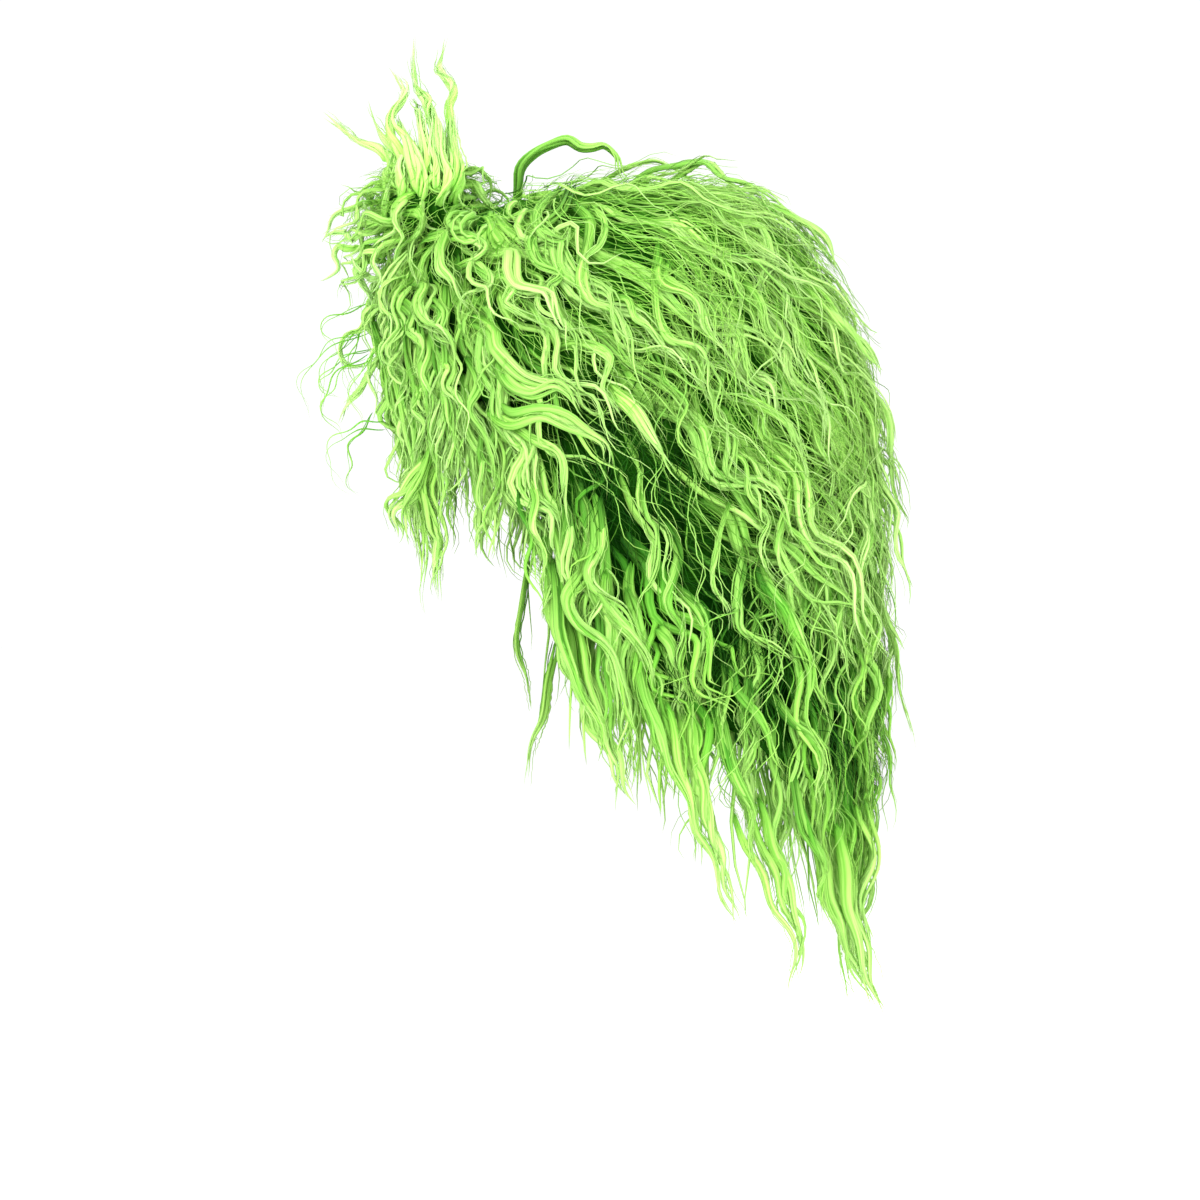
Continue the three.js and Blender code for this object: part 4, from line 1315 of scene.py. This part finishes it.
for wide, *line in SEEN_LOCKS:
    count = len(line) - 1
    rise = rng.uniform(0.003, 0.007)
    # Locks rooted lower down get darker tones, painted shade low down
    tones = (0.3, 1) if line[0][1] < SHADED_BELOW_ROW else (0.05, 0.6)
    seen = [beside(*at, mix(-0.004, rise, ease(min(1, 3 * i / count)))) for i, at in enumerate(line)]
    other = [np.array(at) * FAR_SIDE for at in seen] + rng.normal(0, FAR_CHANGE, 3)
    for places, members, share in ((seen, 3 if wide < NARROW_LOCK else 5, 0.26), (other, 3, 0.34)):
        thin = share * wide + 0.0007
        guided(
            section_at(places[0]), "seen", places, members, 0.44 * wide, (thin, 1.6 * thin),
            steps=8 + 3 * count, tip=0.35, cut=0.35, tones=tones,
        )


# Woolly curls and fibres all over the forelock's body
def round_forelock(count, length, steps, fall):
    """Paths that lie over the forelock's body in all directions, more of them falling."""
    turn = np.radians(rng.uniform(0, 360, count))
    polar = np.arccos(rng.uniform(-0.9, 0.9, count))
    start = on_tuft(turn, polar, (1 + np.cos(polar)) / 2, -2 * TUFT_INSET, TUFT_FOOT, TUFT_BODY_RISE)
    out = unit(start - np.array([0, -TUFT_FORWARD, TUFT_FOOT]))
    way = square_to(rng.normal(0, 1, (count, 3)) + np.array([0, -0.2, -fall]), out)
    share = np.linspace(0, 1, steps)[None, :, None]
    long = rng.uniform(*length, (count, 1, 1))
    rise = rng.uniform(0.003, 0.009, (count, 1, 1)) * share**0.6 - long**2 * share**2 * 10
    paths = start[:, None] + way[:, None] * long * share + out[:, None] * rise
    return paths, np.repeat(out[:, None], steps, 1)


WOOL_CURLS = 56
WOOL_FIBRES = 600
paths, outs = round_forelock(WOOL_CURLS, (0.03, 0.06), steps=20, fall=0.6)
size = rng.uniform(0.002, 0.005, WOOL_CURLS)
paths = wave(paths, outs, size, phases(WOOL_CURLS), rng.uniform(0.018, 0.03, WOOL_CURLS), lift=0.8)
width, tone = rng.uniform(0.003, 0.0065, WOOL_CURLS), rng.uniform(0.3, 1, WOOL_CURLS)
keep("front_tuft", "curls", tufts_of(paths, outs, width, tone))
paths, outs = round_forelock(WOOL_FIBRES, (0.02, 0.05), FIBRE_STEPS, fall=0.1)
fibres(paths, outs, np.full(WOOL_FIBRES, "front_tuft", object), 0.9)

# Long locks that leave the mass on their own: node, x, members, then pixels
STRAYS = [
    ("front_tuft", 0.006, 3, (456, 200), (462, 176), (472, 168), (484, 172), (490, 183), (489, 200),
     (482, 222)),
    ("back_hair", 0.008, 2, (620, 196), (652, 172), (690, 165), (706, 165), (722, 177), (745, 185),
     (776, 200), (797, 224)),
    ("back_hair", -0.010, 2, (560, 205), (610, 178), (650, 160), (672, 168), (700, 186), (730, 190)),
    ("back_hair", 0.004, 3, (660, 190), (688, 172), (711, 164), (737, 188), (768, 193), (797, 208)),
    ("back_hair", -0.010, 3, (780, 240), (794, 232), (820, 245), (841, 276)),
    ("back_hair", 0.012, 4, (800, 330), (841, 328), (859, 365), (875, 388)),
    ("back_hair", 0.016, 4, (826, 380), (852, 391), (867, 417), (872, 443), (885, 461)),
    ("back_hair", 0.012, 5, (845, 560), (872, 600), (893, 640), (900, 690), (918, 755)),
    ("back_hair", 0.020, 5, (845, 500), (866, 560), (888, 620), (908, 655)),
    ("back_hair", 0.030, 2, (838, 676), (862, 708), (870, 740), (872, 770), (861, 800), (846, 818)),
    ("back_hair", 0.020, 3, (836, 790), (854, 826), (869, 846), (866, 860), (851, 870), (872, 882),
     (869, 904), (860, 922), (869, 950)),
    ("side_hair_right", -0.098, 3, (530, 560), (518, 640), (527, 680), (534, 718)),
    ("side_hair_right", -0.094, 3, (556, 640), (541, 715), (532, 745), (522, 794)),
]
for node, x, members, *line in STRAYS:
    guided(
        node, "strays", traced(line, x, x), members, radius=0.0034, width=(0.0022, 0.005),
        swing=SLIGHTER_WAVE, steps=38,
    )

# The ribbon that stands up in a loop behind the forelock
LOOP = (
    (510, 236), (517, 192), (520, 168), (534, 152), (550, 143), (567, 139), (580, 147), (592, 147),
    (605, 144), (618, 156), (621, 174), (636, 194),
)
LOOP_X = 0.006
guided(
    "back_hair", "strays", traced(LOOP, LOOP_X, LOOP_X), members=6, radius=0.0065, width=(0.004, 0.0068),
    steps=40, strands=0, tip=0.45, cut=0.07, tones=(0.1, 0.9),
)

# Clumps whose tips show in the outline: node, x of root and tip, members, radius, then pixels
CLUMP_TIPS_SEEN = [
    ("side_hair_left", 0.108, 0.112, 5, 0.012, (568, 596), (593, 705), (616, 762), (636, 808)),
    ("side_hair_left", 0.110, 0.112, 3, 0.008, (548, 560), (560, 640), (580, 690), (590, 732)),
    ("back_hair", 0.110, 0.098, 5, 0.013, (668, 700), (688, 790), (712, 858), (736, 928)),
    ("back_hair", 0.090, 0.074, 4, 0.011, (748, 800), (778, 880), (799, 940), (792, 998)),
    ("back_hair", 0.050, 0.030, 7, 0.016, (828, 820), (843, 900), (860, 960), (884, 1022)),
    ("back_hair", 0.030, 0.034, 4, 0.010, (858, 800), (874, 850), (862, 905), (874, 950)),
    ("back_hair", -0.030, -0.020, 4, 0.012, (838, 830), (830, 900), (856, 950), (866, 990)),
    ("fringe", 0.060, 0.040, 4, 0.008, (452, 430), (436, 461), (415, 483), (397, 498), (393, 512),
     (401, 530), (396, 548)),
    ("fringe", 0.066, 0.052, 2, 0.005, (440, 440), (424, 480), (408, 511), (406, 529), (412, 547)),
    ("fringe", 0.062, 0.052, 5, 0.010, (446, 430), (426, 486), (436, 522), (443, 540), (441, 557),
     (436, 582), (440, 618)),
    ("fringe", 0.070, 0.064, 3, 0.008, (458, 430), (472, 469), (484, 504), (475, 529), (477, 561)),
    ("side_hair_left", 0.084, 0.084, 3, 0.007, (480, 430), (497, 461), (511, 490), (529, 522)),
    ("back_hair", 0.050, 0.040, 4, 0.008, (796, 278), (834, 312), (862, 345), (886, 376)),
    ("back_hair", 0.030, 0.035, 3, 0.008, (838, 380), (866, 420), (878, 460), (890, 500)),
    ("back_hair", 0.020, 0.010, 4, 0.008, (740, 205), (790, 214), (822, 238), (842, 277)),
]
for node, x_root, x_tip, members, radius, *line in CLUMP_TIPS_SEEN:
    width = (0.0025 + 0.15 * radius, 0.004 + 0.3 * radius)
    places = traced(line, x_root, x_tip)
    guided(node, "strays", places, members, radius, width, swing=(0.001, 0.003), tip=0.12, tones=(0.6, 1))

# Thin dull wisps in front of the forehead
WISPS = 10
for _ in range(WISPS):
    x = rng.uniform(-0.05, 0.05)
    start = np.array([rng.uniform(365, 410), rng.uniform(300, 430)])
    sweep = np.array([rng.uniform(-70, -20), rng.uniform(10, 50)])
    fall = np.array([rng.uniform(-10, 30), rng.uniform(40, 80)])
    line = [start, start + sweep * 0.6, start + sweep + fall * 0.3, start + sweep * 0.8 + fall]
    guided(
        "fringe", "wisps", traced(line, x, x), members=2, radius=0.004, width=(0.0008, 0.0014),
        swing=(0.001, 0.004), pitch=(0.02, 0.03), steps=30, strands=0, tones=(0.7, 1),
    )

# Pieces: each layer's material is that of the locks unless it is named here
LAYER_MATERIALS = {
    "undercoat": shaded_undercoat_material,
    "fibres": fibre_material,
    "wisps": fibre_material,
    "flames": flame_material,
}


def dress(name, parts, material, node):
    """A piece of the scene in the place of a CAD node."""
    piece = mesh_piece(name, *joined(parts), material)
    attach(piece, "root")
    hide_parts(node)


for (node, layer), parts in PIECES.items():
    dress(f"{node}_{layer}", parts, LAYER_MATERIALS.get(layer, lock_material), node)
dress("net_cap", [net_cap()], net_material(), "wig_cap")

# Studio
FLOOR_LEVEL = -0.53
FLOOR_SIZE = 60
DIM_WHITE = (0.96, 0.96, 0.96)
WHITE = (0.97, 0.97, 0.97)
DAYLIGHT = 1.06
MIDDLE = Vector((0, 0, -0.17))
LIGHTS = {
    "name": ("key", "front", "fill", "rim"),
    "place": ((1.5, -1.0, 1.3), (2.4, -0.2, 0.35), (1.2, 1.5, 0.3), (-1.4, 0.6, 1.2)),
    "size": (0.9, 1.6, 1.2, 0.9),
    "power": (44, 26, 17, 16),
}
SENSOR_WIDTH = 36

ground = Surface("studio_floor")
grain = ground.add("TexNoise", {"Scale": 3.0}).outputs["Fac"]
floor_colour = ground.ramp(grain, [(0.0, DIM_WHITE), (1.0, WHITE)])
ground.fill(ground.shader, {"Base Color": floor_colour, "Roughness": 0.9})
bpy.ops.mesh.primitive_plane_add(size=FLOOR_SIZE, location=(0, 0, FLOOR_LEVEL))
floor = bpy.context.object
floor.name = "studio_floor"
floor.data.materials.append(ground.material)
floor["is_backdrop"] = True

scene = bpy.context.scene
scene.view_settings.view_transform = "Standard"
world = bpy.data.worlds.new("studio_world")
world.use_nodes = True
world.node_tree.nodes["Background"].inputs["Color"].default_value = (1, 1, 1, 1)
world.node_tree.nodes["Background"].inputs["Strength"].default_value = DAYLIGHT
scene.world = world

for name, place, size, power in zip(*LIGHTS.values()):
    light = bpy.data.lights.new(name, "AREA")
    light.size = size
    light.energy = power
    lamp = bpy.data.objects.new(name, light)
    scene.collection.objects.link(lamp)
    lamp.location = place
    lamp.rotation_euler = (MIDDLE - Vector(place)).to_track_quat("-Z", "Y").to_euler()

camera_data = bpy.data.cameras.new("camera")
camera_data.sensor_width = SENSOR_WIDTH
camera_data.lens = SENSOR_WIDTH * CAMERA_DISTANCE / (PHOTO_SCALE * PHOTO_WIDTH)
camera = bpy.data.objects.new("camera", camera_data)
scene.collection.objects.link(camera)
camera.location = (CAMERA_DISTANCE, 0, CAMERA_HEIGHT)
camera.rotation_euler = (math.radians(90), 0, math.radians(90))
scene.camera = camera

bpy.context.view_layer.update()
low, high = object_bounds()
